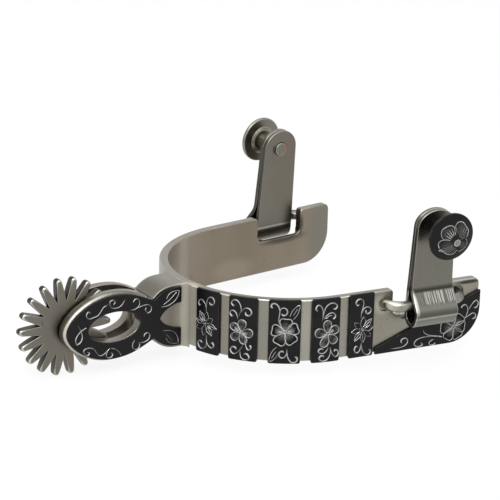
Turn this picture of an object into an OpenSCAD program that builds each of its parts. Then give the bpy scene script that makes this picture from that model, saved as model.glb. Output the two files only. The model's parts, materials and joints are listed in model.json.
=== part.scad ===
// Western spur with a rowel, blackened trim and swinging button hangers.
//
// Frame: the origin is the middle of the heel band's inner face, where the
// boot heel sits. +X runs towards the toe, -Y is the decorated outer side,
// +Y the plain inner side, and +Z is up. Millimetres.

/* [Heel band] */
// Height of the band
band_height = 22.2; // [18:0.1:28]
// Thickness of the band
band_thickness = 3.2; // [2.6:0.1:4.5]
// Inner radius of the heel curve
heel_radius = 40.8; // [34:0.1:48]
// Turn of the heel curve on each side, in degrees
heel_turn = 84; // [78:0.5:90]
// Straight length of each arm
arm_length = 55.2; // [50:0.1:70]
// Radius of the upper corner at the arm's end
arm_top_round = 2.2; // [1:0.1:6]
// Radius of the lower corner at the arm's end
arm_low_round = 11.5; // [6:0.1:14]

/* [Shank] */
// Width of the shank across both cheeks
shank_width = 12.6; // [10:0.1:16]
// Height of the oval ring that the cheeks form
ring_height = 24.4; // [20:0.1:30]
// Height at the waist between the ring and the heel
waist_height = 15.4; // [12:0.1:18]
// Distance from the heel's outer face to the ring's crown
crown_reach = 28.3; // [25:0.1:34]
// Distance from the heel's outer face to the waist
waist_reach = 12.4; // [10:0.1:16]
// How far the shank's foot reaches below the band's lower edge
foot_drop = 0.8; // [0.1:0.1:1.5]
// Metal behind the rowel pin's axis at the rear tip
tip_wall = 3.2; // [2.8:0.1:6]
// Length of the oval window
window_length = 20.2; // [14:0.1:22]
// Height of the oval window
window_height = 10.9; // [7:0.1:13]
// Radius where the shank's side runs into the band
root_fillet = 3; // [2:0.1:5]

/* [Rowel] */
// Distance from the heel's outer face to the rowel's axis
rowel_reach = 43.6; // [40:0.1:48]
// Height of the rowel's axis above mid-height
rowel_rise = 1; // [0:0.1:2]
// Diameter over the spoke tips
rowel_diameter = 34.8; // [28:0.1:38]
// Diameter of the solid middle, where the spokes start
rowel_core = 20.4; // [14:0.1:22]
// Thickness of the rowel
rowel_thickness = 3.2; // [2:0.1:3.6]
// Number of spokes
rowel_spokes = 18; // [12:1:20]
// Width of a spoke at its foot
spoke_foot = 3.3; // [2.4:0.1:3.6]
// Width of a spoke at its rounded tip
spoke_tip = 2.3; // [1.6:0.1:2.6]
// Turn of the rowel at rest, in degrees
rowel_turn = 18; // [0:0.5:20]
// Free space on each side of the rowel in its slot
rowel_side_gap = 1; // [0.3:0.05:1.2]
// Space from the spoke tips to the end of the slot
slot_run = 9.8; // [1:0.1:12]
// Diameter of the rowel pin
rowel_pin_diameter = 3.2; // [2.5:0.1:4]
// Radial clearance of the rowel on its pin
rowel_pin_clearance = 0.06; // [0.02:0.01:0.1]

/* [Blackened trim] */
// Thickness of the shank plate
shank_plate_thickness = 0.8; // [0.6:0.05:1.2]
// How far the shank plate stays inside the shank's outline
shank_plate_inset = 0.8; // [0.3:0.05:1.2]
// Distance from the heel's outer face to the ends of the two tails
tail_reach = 1.6; // [1:0.1:3]
// Distance from the heel's outer face to the point between the tails
fork_reach = 10; // [8:0.1:11]
// Space between the tails at their ends
fork_gap = 9.4; // [7:0.1:12]
// Thickness of the plates on the band
plate_thickness = 1; // [0.6:0.05:1.5]
// How far the plates stand past the band's edges
plate_overhang = 0.5; // [0.2:0.05:0.8]
// Where the first plate starts, along the band from the heel's middle
plate_start = 12.7; // [12:0.1:16]
// Space along the band between the last plate and the near hanger's pin
plate_pin_gap = 2.8; // [1:0.1:4]
// Width of the outer two plates
plate_outer_width = 9.5; // [8:0.1:10]
// Width of the plates next to the middle one
plate_inner_width = 10.2; // [9:0.1:11]
// Width of the middle plate
plate_middle_width = 11; // [10:0.1:12]
// Space between the last plate and the corner plate
corner_plate_gap = 0.9; // [0.5:0.1:2]
// Height of the corner plate at its narrow end
corner_plate_toe = 2.4; // [1.5:0.1:4]
// Depth of the corner plate's tip below the band's top edge
corner_plate_drop = 4.2; // [3.5:0.1:6]
// Radius of the corner plate's lower corner
corner_plate_round = 12.2; // [8:0.1:14]

/* [Hanger pins] */
// Diameter of the bent pin
pin_diameter = 3.8; // [3:0.1:4.2]
// Distance between the two ends of the bent pin
pin_span = 28.4; // [26:0.1:30]
// Distance from the arm's end to the nearer end of the pin
pin_end_margin = 9.1; // [8.5:0.1:11]
// How far the pin's axis stands out from the arm
pin_standoff = 5.2; // [5:0.1:7]
// Distance from the band's upper edge down to the pin's axis
pin_drop = 4.6; // [4:0.1:5.5]
// Depth of the pin's seats in the arm
pin_seat_depth = 2.4; // [1.5:0.1:2.5]
// Radius of the pin's bends, on its axis
pin_bend = 4.9; // [3.5:0.1:5]
// Diameter of the shallow recess round each seat
pin_recess_diameter = 5.6; // [4.6:0.1:5.8]
// Depth of that recess
pin_recess_depth = 0.7; // [0.3:0.1:1]

/* [Notch] */
// How much wider the notch is than the hanger's foot
notch_room = 4.2; // [2.4:0.1:5]
// How far the notch's middle is behind the hanger's middle
notch_set_back = 1.6; // [0:0.1:1.8]
// Height from the notch's floor up to the pin's axis
notch_depth = 5; // [4.6:0.1:5.6]
// Radius of the notch's lower corners
notch_round = 2.5; // [1:0.1:3]
// Radius of the arm's upper corners beside the notch
notch_lip_round = 1.2; // [0.4:0.1:2]
// Space kept clear round the hanger's foot as it swings
swing_room = 0.25; // [0.1:0.05:0.4]

/* [Hangers] */
// Thickness of the folded strip
strip_thickness = 1.5; // [1.2:0.05:1.8]
// Width of the hanger at the pin
hanger_foot_width = 16.4; // [14:0.1:18]
// Width of the hanger at its round top
hanger_top_width = 14.8; // [12:0.1:16]
// Height of the near hanger's round top above its button's axis
near_crown = 6.1; // [5:0.1:8]
// Height of the far hanger's round top above its button's axis
far_crown = 7.2; // [5:0.1:8]
// Distance from the pin's axis to the button's axis on the near hanger
near_button_height = 28.1; // [24:0.1:32]
// Distance from the pin's axis to the button's axis on the far hanger
far_button_height = 29.6; // [24:0.1:32]
// Shift of the hanger along the pin, towards the toe
hanger_shift = 0.8; // [-1:0.1:1]
// Space between the pin and the strip
eye_clearance = 0.18; // [0.1:0.02:0.3]
// Space between the two layers of the folded strip at the button
layer_gap = 0.2; // [0.1:0.05:0.5]
// How much wider that space is where the eye starts
layer_spread = 0.5; // [0:0.1:1.2]
// Slant of the eye's outer wall, in degrees from the strip
eye_flare = 35; // [30:0.5:38]
// How far the eye's outer wall stands out from the pin's axis
eye_reach = 4.7; // [4.4:0.1:5.2]
// Radius of the sweep from the strip out to the eye's wall
eye_sweep = 8; // [3:0.1:9]
// Slant of the eye's lower wall back towards the arm, in degrees
eye_return = 16.5; // [14:0.5:30]
// Radius of the eye's lower bend, on the strip's middle line
eye_bend = 3.4; // [3.2:0.05:3.6]
// Outward lean of the near hanger at rest, in degrees
near_lean = 4.2; // [-4:0.1:6]
// Outward lean of the far hanger at rest, in degrees
far_lean = -4.5; // [-8:0.1:4]

/* [Buttons] */
// Diameter of the button's head
button_diameter = 16.9; // [15:0.1:20]
// Distance from the hanger's face to the edge of the head
button_standoff = 9.1; // [7:0.1:11]
// Thickness of the head at its edge
button_edge = 1.2; // [0.8:0.1:1.6]
// Rise of the head's crowned front
button_crown = 1.3; // [0.8:0.1:2]
// Depth of the hollow in the head's back
button_hollow = 1.1; // [0.6:0.1:1.4]
// Diameter of the stud's neck
neck_diameter = 6.6; // [5.5:0.1:7.5]
// Diameter of the collar where the head meets the neck
collar_diameter = 9.6; // [8.5:0.1:11]
// Diameter of the stud's tail and of its upper spigot
tail_diameter = 5; // [4:0.1:5.4]
// Radial clearance of the tail in the strip
tail_clearance = 0.08; // [0.05:0.01:0.15]
// How far the riveted tail stands proud of the strip's back
tail_proud = 0.4; // [0.2:0.05:0.6]

/* [Hidden] */

$fn = 96;
steel = [0.58, 0.56, 0.52];
blackened = [0.07, 0.07, 0.08];

near = -1;
far = 1;
eps = 0.01;
fillet_edge = 0.15; // what is left of the shank where its fillets end
past = 1; // how far a cutting tool runs past what it cuts

// Band, measured along its outer face from the heel's middle
heel_outer_radius = heel_radius + band_thickness;
heel_run = heel_outer_radius * heel_turn * PI / 180;
band_half = band_height / 2;
heel_face = -band_thickness; // x of the heel's outer face

// Shank, along -X from the heel's outer face
rowel_x = heel_face - rowel_reach;
shank_tip = rowel_x - tip_wall;
crown_x = heel_face - crown_reach;
waist_x = heel_face - waist_reach;
window_x = crown_x + 0.6;
slot_width = rowel_thickness + 2 * rowel_side_gap;
slot_end = rowel_x + rowel_diameter / 2 + slot_run;
shoulder_x = heel_face - root_fillet + 0.6;

// Trim
plate_widths = [
    plate_outer_width, plate_inner_width, plate_middle_width,
    plate_inner_width, plate_outer_width
];
plate_half = band_half + plate_overhang;
plate_total = 2 * plate_outer_width + 2 * plate_inner_width + plate_middle_width;

// Pin and hanger, in the arm's frame
pin_middle = arm_length - pin_end_margin - pin_span / 2;
pin_radius = pin_diameter / 2;
pin_height = band_half - pin_drop;
inner_layer = -(pin_radius + eye_clearance + strip_thickness / 2);
outer_layer = inner_layer + strip_thickness + layer_gap;
eye_wall = pin_radius + eye_clearance + strip_thickness / 2;
plate_end = heel_run + pin_middle - pin_span / 2 - pin_radius - plate_pin_gap;
plate_gap = (plate_end - plate_start - plate_total) / 4;
eye_low_x = inner_layer + eye_bend;
eye_low_z = on_wall(eye_reach)[1]
    + (eye_bend + cos(eye_return) * (eye_low_x - eye_reach)) / sin(eye_return);
foot_sweep = norm([eye_low_x, eye_low_z]) + eye_bend + strip_thickness / 2;
outer_face = outer_layer + strip_thickness / 2;
inner_face = inner_layer - strip_thickness / 2;
notch_width = hanger_foot_width + notch_room;
notch_middle = pin_middle + hanger_shift - notch_set_back;
notch_floor = pin_height - notch_depth;
head_back = outer_face + button_standoff - button_edge / 2;

// Points of a circular arc about c
function arc(c, r, a0, a1, n = 12) =
    [for (i = [0:n]) let (a = a0 + (a1 - a0) * i / n) c + r * [cos(a), sin(a)]];

// Points of a cubic curve from a to d with handles b and c
function curve(a, b, c, d, n = 14) =
    [for (i = [0:n]) let (t = i / n, s = 1 - t)
        s * s * s * a + 3 * s * s * t * b + 3 * s * t * t * c + t * t * t * d];

// A rounded corner at b between the lines a-b and b-c
function corner(a, b, c, r, n = 8) =
    let (
        u = (a - b) / norm(a - b),
        v = (c - b) / norm(c - b),
        half = acos(u * v) / 2,
        m = (u + v) / norm(u + v),
        o = b + m * r / sin(half),
        p = b + u * r / tan(half),
        q = b + v * r / tan(half),
        a0 = atan2(p[1] - o[1], p[0] - o[0]),
        turn = atan2(q[1] - o[1], q[0] - o[0]) - a0,
        sweep = turn > 180 ? turn - 360 : (turn < -180 ? turn + 360 : turn)
    )
    arc(o, r, a0, a0 + sweep, n);

function mirrored(points) =
    [for (i = [len(points) - 1:-1:0]) [points[i][0], -points[i][1]]];

// Outline of a strip of width w whose middle line is the path
function strip(path, w) =
    let (
        n = len(path),
        sides = [for (i = [0:n - 1])
            let (
                d = path[min(i + 1, n - 1)] - path[max(i - 1, 0)],
                k = w / 2 / norm(d)
            )
            [-d[1] * k, d[0] * k]]
    )
    concat(
        [for (i = [0:n - 1]) path[i] + sides[i]],
        [for (i = [n - 1:-1:0]) path[i] - sides[i]]
    );

// Where a point of the near arm is from above, u along it at a depth inside
function arm_point(u, depth) =
    let (along = [sin(heel_turn), -cos(heel_turn)], out = [-cos(heel_turn), -sin(heel_turn)])
    [heel_radius, 0] + (heel_outer_radius - depth) * out + u * along;

// Moves to an arm: +X along it from the end of the heel curve, -Y outward
module on_arm(side) {
    mirror([0, side > 0 ? 1 : 0, 0])
        translate([heel_radius, 0, 0])
        rotate([0, 0, heel_turn])
        translate([-heel_outer_radius, 0, 0])
        rotate([0, 0, -90])
        children();
}

// Moves to a hanger: its origin on the pin's axis, +Z up along the strip
module on_hanger(side) {
    on_arm(side)
        translate([pin_middle, -pin_standoff, pin_height])
        rotate([side == near ? near_lean : far_lean, 0, 0])
        translate([hanger_shift, 0, 0])
        children();
}

// A flat shape in the arm's side view, from y = -out to y = depth
module arm_slab(out, depth) {
    translate([0, depth, 0])
        rotate([90, 0, 0])
        linear_extrude(out + depth)
        children();
}

// A piece that follows the near half of the band from s0 to s1
module along_band(s0, s1, r, t, z0, z1) {
    a0 = s0 / heel_outer_radius * 180 / PI;
    a1 = min(s1, heel_run) / heel_outer_radius * 180 / PI;
    if (s0 < heel_run) {
        translate([heel_radius, 0, 0])
            rotate([0, 0, 180 + a0])
            rotate_extrude(angle = a1 - a0)
            translate([r, z0])
            square([t, z1 - z0]);
    }
    if (s1 > heel_run) {
        u0 = max(s0, heel_run) - heel_run - (s0 < heel_run ? eps : 0);
        on_arm(near)
            translate([u0, heel_outer_radius - r - t, z0])
            cube([s1 - heel_run - u0, t, z1 - z0]);
    }
}

// What a corner of radius r loses; the corner points to +x and +y
module corner_waste(r) {
    difference() {
        square(r + past);
        circle(r);
    }
}

// What an arm's side loses: its two rounded corners and the notch
module arm_waste() {
    translate([arm_length - arm_top_round, band_half - arm_top_round])
        corner_waste(arm_top_round);
    translate([arm_length - arm_low_round, arm_low_round - band_half])
        mirror([0, 1])
        corner_waste(arm_low_round);
    translate([notch_middle, 0])
        notch_side();
}

module notch_side() {
    depth = band_half - notch_floor;
    difference() {
        translate([-notch_width / 2, notch_floor])
            square([notch_width, depth + past]);
        for (m = [0, 1])
            mirror([m, 0])
                translate([notch_width / 2 - notch_round, notch_floor + notch_round])
                mirror([0, 1])
                corner_waste(notch_round);
    }
    for (m = [0, 1])
        mirror([m, 0])
            translate([-notch_width / 2 - notch_lip_round, band_half - notch_lip_round])
            corner_waste(notch_lip_round);
}

module pin_seats(side) {
    for (m = [-1, 1])
        on_arm(side)
            translate([pin_middle + m * pin_span / 2, 0, pin_height])
            rotate([90, 0, 0]) {
                translate([0, 0, -pin_seat_depth])
                    cylinder(d = pin_diameter, h = pin_seat_depth + past);
                translate([0, 0, -pin_recess_depth])
                    cylinder(d = pin_recess_diameter, h = pin_recess_depth + past);
            }
}

// The band from above, filled in, at a depth below its outer face
module band_plan(depth, ends) {
    side = [for (p = ends) arm_point(p[0], p[1])];
    translate([heel_radius, 0])
        circle(heel_outer_radius - depth, $fn = 180);
    polygon(concat(side, mirrored(side)));
}

// The space that the hanger's foot sweeps as it swings
module foot_path(side) {
    on_arm(side)
        translate([pin_middle + hanger_shift, -pin_standoff, pin_height])
        rotate([0, 90, 0])
        cylinder(
            r = foot_sweep + swing_room, h = hanger_foot_width + 2 * swing_room, center = true
        );
}

module heel_band() {
    reach = arm_length + past;
    color(steel)
        difference() {
            translate([0, 0, -band_half])
                linear_extrude(band_height)
                difference() {
                    band_plan(0, [[0, 0], [arm_length, 0], [arm_length, band_thickness]]);
                    band_plan(band_thickness, [[0, band_thickness], [reach, band_thickness]]);
                }
            for (side = [near, far]) {
                on_arm(side)
                    arm_slab(past, band_thickness + past)
                    arm_waste();
                pin_seats(side);
                foot_path(side);
            }
        }
}

// Half of the shank's side view, kept inside its outline by the inset; at its
// foot it passes the band's edge by foot
function shank_half(inset, front, foot) =
    let (
        crown = [crown_x, ring_height / 2 - inset],
        waist = [waist_x, waist_height / 2 - inset],
        tip = [shank_tip + inset, 0],
        shoulder = [shoulder_x, band_half + foot - inset],
        nose_handle = 0.45 * crown[1],
        crown_back = 0.48 * (crown_x - shank_tip),
        crown_front = 0.42 * (waist_x - crown_x),
        shoulder_run = shoulder_x - waist_x
    )
    concat(
        curve(tip, tip + [0, nose_handle], crown - [crown_back, 0], crown),
        curve(
            crown, crown + [crown_front, 0],
            waist + [-crown_front, 0.5 * crown_front], waist
        ),
        curve(
            waist, waist + [0.33 * shoulder_run, 0.33 * shoulder_run],
            shoulder - [0.4 * shoulder_run, 0], shoulder
        ),
        [[front, shoulder[1]]]
    );

module shank_side(inset, front) {
    polygon(concat(
        shank_half(inset, front, 0), mirrored(shank_half(inset, front, foot_drop))
    ));
}

module window_side(grow) {
    polygon([for (a = [0:6:354])
        [window_x + (window_length / 2 + grow) * cos(a), (window_height / 2 + grow) * sin(a)]]);
}

// The shank from above, with a fillet on each side where it meets the band
module shank_plan() {
    half = shank_width / 2;
    foot_radius = heel_outer_radius + fillet_edge;
    fillet_x = heel_radius
        - sqrt(pow(foot_radius + root_fillet, 2) - pow(half + root_fillet, 2));
    fillet_y = half + root_fillet;
    touch = [heel_radius, 0]
        + ([fillet_x, fillet_y] - [heel_radius, 0]) * foot_radius / (foot_radius + root_fillet);
    side = [[shank_tip - past, half], [fillet_x, half], touch, [heel_radius, 0]];
    difference() {
        polygon(concat(side, mirrored(side)));
        for (m = [-1, 1])
            translate([fillet_x, m * fillet_y])
                circle(root_fillet);
        translate([heel_radius, 0])
            circle(heel_outer_radius, $fn = 180);
    }
}

module rowel_slot() {
    translate([shank_tip - past, -slot_width / 2, -ring_height / 2 - past])
        cube([slot_end - slot_width / 2 - shank_tip + past, slot_width, ring_height + 2 * past]);
    translate([slot_end - slot_width / 2, 0, -ring_height / 2 - past])
        cylinder(d = slot_width, h = ring_height + 2 * past);
}

// A cross hole along Y through the whole shank
module cross_hole(d) {
    translate([rowel_x, shank_width, rowel_rise])
        rotate([90, 0, 0])
        cylinder(d = d, h = 2 * shank_width);
}

module shank() {
    color(steel)
        difference() {
            intersection() {
                translate([0, shank_width, 0])
                    rotate([90, 0, 0])
                    linear_extrude(2 * shank_width)
                    shank_side(0, past);
                translate([0, 0, -ring_height])
                    linear_extrude(2 * ring_height)
                    shank_plan();
            }
            translate([0, shank_width, 0])
                rotate([90, 0, 0])
                linear_extrude(2 * shank_width)
                window_side(0);
            rowel_slot();
            cross_hole(rowel_pin_diameter);
        }
}

module spoke() {
    tip_radius = spoke_tip / 2;
    tip_centre = rowel_diameter / 2 - tip_radius;
    foot = rowel_core / 2 - past;
    polygon([
        [foot, -spoke_foot / 2], [tip_centre, -tip_radius],
        [tip_centre, tip_radius], [foot, spoke_foot / 2]
    ]);
    translate([tip_centre, 0])
        circle(tip_radius, $fn = 24);
}

module rowel() {
    color(steel)
        translate([rowel_x, rowel_thickness / 2, rowel_rise])
        rotate([90, 0, 0])
        linear_extrude(rowel_thickness)
        difference() {
            union() {
                circle(d = rowel_core);
                for (i = [0:rowel_spokes - 1])
                    rotate(rowel_turn + i * 360 / rowel_spokes)
                        spoke();
            }
            circle(d = rowel_pin_diameter + 2 * rowel_pin_clearance);
        }
}

module rowel_pin() {
    color(steel)
        translate([rowel_x, shank_width / 2, rowel_rise])
        rotate([90, 0, 0])
        cylinder(d = rowel_pin_diameter, h = shank_width);
}

// The gap between the two tails, from its point to past the tails' ends
module fork_side() {
    point = [heel_face - fork_reach, 0];
    mouth = [heel_face - tail_reach, fork_gap / 2];
    run = mouth[0] - point[0];
    upper = curve(
        point, point + [0.14 * run, 0.5 * mouth[1]],
        mouth - [0.5 * run, 0.06 * mouth[1]], mouth
    );
    polygon(concat(upper, [mouth + [past, 0]], mirrored(concat(upper, [mouth + [past, 0]]))));
}

module shank_plate() {
    color(blackened)
        translate([0, -shank_width / 2, 0])
        rotate([90, 0, 0])
        linear_extrude(shank_plate_thickness)
        difference() {
            shank_side(shank_plate_inset, heel_face - tail_reach);
            window_side(0);
            fork_side();
        }
}

// Where a trim plate starts along the band; i counts from 0
function plate_from(i) =
    i == 0 ? plate_start : plate_from(i - 1) + plate_widths[i - 1] + plate_gap;

module trim_plate(i) {
    color(blackened)
        along_band(
            plate_from(i), plate_from(i) + plate_widths[i],
            heel_outer_radius, plate_thickness, -plate_half, plate_half
        );
}

module corner_plate() {
    start = plate_end + corner_plate_gap - heel_run;
    end = arm_length + 0.2;
    toe = corner_plate_toe - plate_half;
    tip = band_half - corner_plate_drop;
    color(blackened)
        difference() {
            on_arm(near)
                arm_slab(plate_thickness, 0)
                difference() {
                    polygon([[start, -plate_half], [end, -plate_half], [end, tip], [start, toe]]);
                    translate([end - corner_plate_round, corner_plate_round - plate_half])
                        mirror([0, 1])
                        corner_waste(corner_plate_round);
                }
            foot_path(near);
        }
}

// A bent pin: two ends in the arm, joined by a bar that stands off it
module hanger_pin(side) {
    leg = pin_standoff - pin_bend;
    color(steel)
        on_arm(side)
        translate([pin_middle, 0, pin_height])
        for (m = [0, 1])
            mirror([m, 0, 0]) {
                translate([pin_span / 2, pin_seat_depth, 0])
                    rotate([90, 0, 0])
                    cylinder(r = pin_radius, h = pin_seat_depth + leg, $fn = 48);
                translate([pin_span / 2 - pin_bend, -leg, 0])
                    rotate([0, 0, -90])
                    rotate_extrude(angle = 90)
                    translate([pin_bend, 0])
                    circle(pin_radius, $fn = 48);
                translate([0, -pin_standoff, 0])
                    rotate([0, 90, 0])
                    cylinder(r = pin_radius, h = pin_span / 2 - pin_bend, $fn = 48);
            }
}

function button_height(side) = side == near ? near_button_height : far_button_height;
function crown(side) = side == near ? near_crown : far_crown;

// The point of the eye's slanted wall at x, on the strip's middle line
function on_wall(x) = [x, (eye_wall - x * cos(eye_flare)) / sin(eye_flare)];

// Middle line of the folded strip: outward, upward from the pin's axis
function hanger_path(clamp, top) =
    let (
        start = on_wall(outer_layer + layer_spread),
        crease = on_wall(eye_reach),
        low = [eye_low_x, eye_low_z],
        low_start = low + eye_bend * [cos(eye_return), -sin(eye_return)]
    )
    concat(
        [[outer_layer, top], [outer_layer, clamp]],
        corner([outer_layer, clamp], start, crease, eye_sweep),
        corner(start, crease, low_start, 1.3),
        arc(low, eye_bend, -eye_return, -180, 20),
        [[inner_layer, top]]
    );

module hanger_front(height, rise) {
    foot = hanger_foot_width / 2;
    top = hanger_top_width / 2;
    polygon(concat(
        [[-foot, 0], [-foot, -height], [foot, -height], [foot, 0]],
        [for (a = [0:7.5:180]) [top * cos(a), height + rise * sin(a)]]
    ));
}

module hanger(side) {
    height = button_height(side);
    reach = 4 * pin_standoff;
    color(steel)
        on_hanger(side)
        difference() {
            intersection() {
                rotate([90, 0, -90])
                    linear_extrude(2 * hanger_foot_width, center = true)
                    polygon(strip(
                        hanger_path(height - neck_diameter, height + hanger_top_width),
                        strip_thickness
                    ));
                translate([0, reach, 0])
                    rotate([90, 0, 0])
                    linear_extrude(2 * reach)
                    hanger_front(height, crown(side));
            }
            translate([0, reach, height])
                rotate([90, 0, 0])
                cylinder(d = tail_diameter + 2 * tail_clearance, h = 2 * reach);
        }
}

// Moves to the button's axis: +Z points outward from the pin's plane
module on_button(side) {
    on_hanger(side)
        translate([0, 0, button_height(side)])
        rotate([90, 0, 0])
        children();
}

module button_head(side, tint) {
    rim = button_diameter / 2;
    edge_back = head_back;
    edge_front = head_back + button_edge;
    collar = collar_diameter / 2;
    crown_radius = (rim * rim + button_crown * button_crown) / (2 * button_crown);
    crown_angle = asin(rim / crown_radius);
    seat = edge_back - button_hollow;
    socket = edge_front - 0.4;
    color(tint)
        on_button(side)
        rotate_extrude()
        polygon(concat(
            [[tail_diameter / 2, socket], [tail_diameter / 2, seat]],
            [[neck_diameter / 2, seat], [collar - 0.6, seat], [collar, seat + 0.5]],
            [[collar + 0.3, edge_back + 0.25 - button_hollow / 2]],
            [[rim - 1.6, edge_back - 0.1], [rim - 0.3, edge_back], [rim, edge_back + 0.3]],
            [for (i = [0:10]) let (a = crown_angle * (1 - i / 10))
                [crown_radius * sin(a),
                    edge_front + button_crown - crown_radius * (1 - cos(a))]],
            [[0, socket]]
        ));
}

module button_stud(side, tint) {
    seat = head_back - button_hollow;
    socket = head_back + button_edge - 0.4;
    color(tint)
        on_button(side)
        rotate_extrude()
        polygon([
            [0, inner_face - tail_proud],
            [tail_diameter / 2 - 0.2, inner_face - tail_proud],
            [tail_diameter / 2, inner_face - tail_proud + 0.2],
            [tail_diameter / 2, outer_face],
            [neck_diameter / 2, outer_face],
            [neck_diameter / 2, seat],
            [tail_diameter / 2, seat],
            [tail_diameter / 2, socket],
            [0, socket]
        ]);
}

heel_band();
shank();
rowel();
rowel_pin();
shank_plate();
trim_plate(0);  // trim_plate_1
trim_plate(1);  // trim_plate_2
trim_plate(2);  // trim_plate_3
trim_plate(3);  // trim_plate_4
trim_plate(4);  // trim_plate_5
corner_plate();
hanger_pin(near);  // near_hanger_pin
hanger(near);  // near_hanger
button_head(near, blackened);  // near_button
button_stud(near, blackened);  // near_button_stud
hanger_pin(far);  // far_hanger_pin
hanger(far);  // far_hanger
button_head(far, steel);  // far_button
button_stud(far, steel);  // far_button_stud
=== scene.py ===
"""Western spur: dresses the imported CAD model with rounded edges, materials and engraving.

Places and sizes are in millimetres, except where a name or comment says otherwise."""

import json
import math

import bmesh
import bpy
from mathutils import Matrix, Vector


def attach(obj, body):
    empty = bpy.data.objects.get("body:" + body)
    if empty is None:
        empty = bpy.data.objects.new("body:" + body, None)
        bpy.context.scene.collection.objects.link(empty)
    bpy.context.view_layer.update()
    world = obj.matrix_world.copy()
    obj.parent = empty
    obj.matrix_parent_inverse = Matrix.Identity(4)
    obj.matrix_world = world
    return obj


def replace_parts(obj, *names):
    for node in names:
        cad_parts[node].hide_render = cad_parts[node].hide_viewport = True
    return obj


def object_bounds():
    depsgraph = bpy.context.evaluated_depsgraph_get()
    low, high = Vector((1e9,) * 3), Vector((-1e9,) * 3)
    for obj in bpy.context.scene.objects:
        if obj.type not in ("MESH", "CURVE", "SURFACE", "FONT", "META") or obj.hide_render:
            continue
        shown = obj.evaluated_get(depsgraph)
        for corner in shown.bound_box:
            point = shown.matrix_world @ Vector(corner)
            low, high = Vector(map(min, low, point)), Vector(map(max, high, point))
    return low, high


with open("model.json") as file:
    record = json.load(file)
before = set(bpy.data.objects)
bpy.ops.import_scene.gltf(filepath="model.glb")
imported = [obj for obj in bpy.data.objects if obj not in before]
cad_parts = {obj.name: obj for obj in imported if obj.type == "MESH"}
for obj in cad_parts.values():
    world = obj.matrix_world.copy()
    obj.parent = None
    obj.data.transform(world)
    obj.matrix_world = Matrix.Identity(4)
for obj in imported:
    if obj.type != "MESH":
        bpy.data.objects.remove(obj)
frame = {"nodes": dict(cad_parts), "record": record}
CAD_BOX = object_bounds()
MM = 0.001

RECORD = frame["record"]
BODY = {node: body for body, nodes in RECORD["behaviour"]["bodies"].items() for node in nodes}
SLOT = {part["node"]: part["material_slot"] for part in RECORD["subparts"]}
JOINT = {joint["name"]: joint for joint in RECORD["behaviour"]["joints"]}
ROWEL_AT = Vector(JOINT["rowel_spin"]["pos_m"])  # metres
SWING = JOINT["near_hanger_swing"]

# Sizes of the solids, which the dressing follows
HEEL_RADIUS = 40.8  # inside the heel curve
BAND = 3.2  # the band's thickness
TURN = math.radians(84.0)  # the heel curve's turn on each side
OUTER = HEEL_RADIUS + BAND
HEEL_RUN = OUTER * TURN  # from the heel's middle to the arm, along the outer face
PLATE = 1.0  # the trim plates' thickness
PLATE_HALF_HEIGHT = 11.6
PLATE_WIDTHS = (9.5, 10.2, 11.0, 10.2, 9.5)
PLATE_START = 12.7  # from the heel's middle, along the outer face
PLATE_GAP = 3.602
SHANK_FACE = 6.3  # half the shank's width
SHANK_PLATE = 0.8  # the shank plate's thickness
WINDOW_X = -30.9  # the middle of the shank's oval window
WINDOW_HALF_LENGTH = 10.1
WINDOW_HALF_HEIGHT = 5.45
PIN_ENDS = (53.85, 81.95)  # where the hanger pins' ends enter the arms, along X


# ---------------- node helpers


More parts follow.
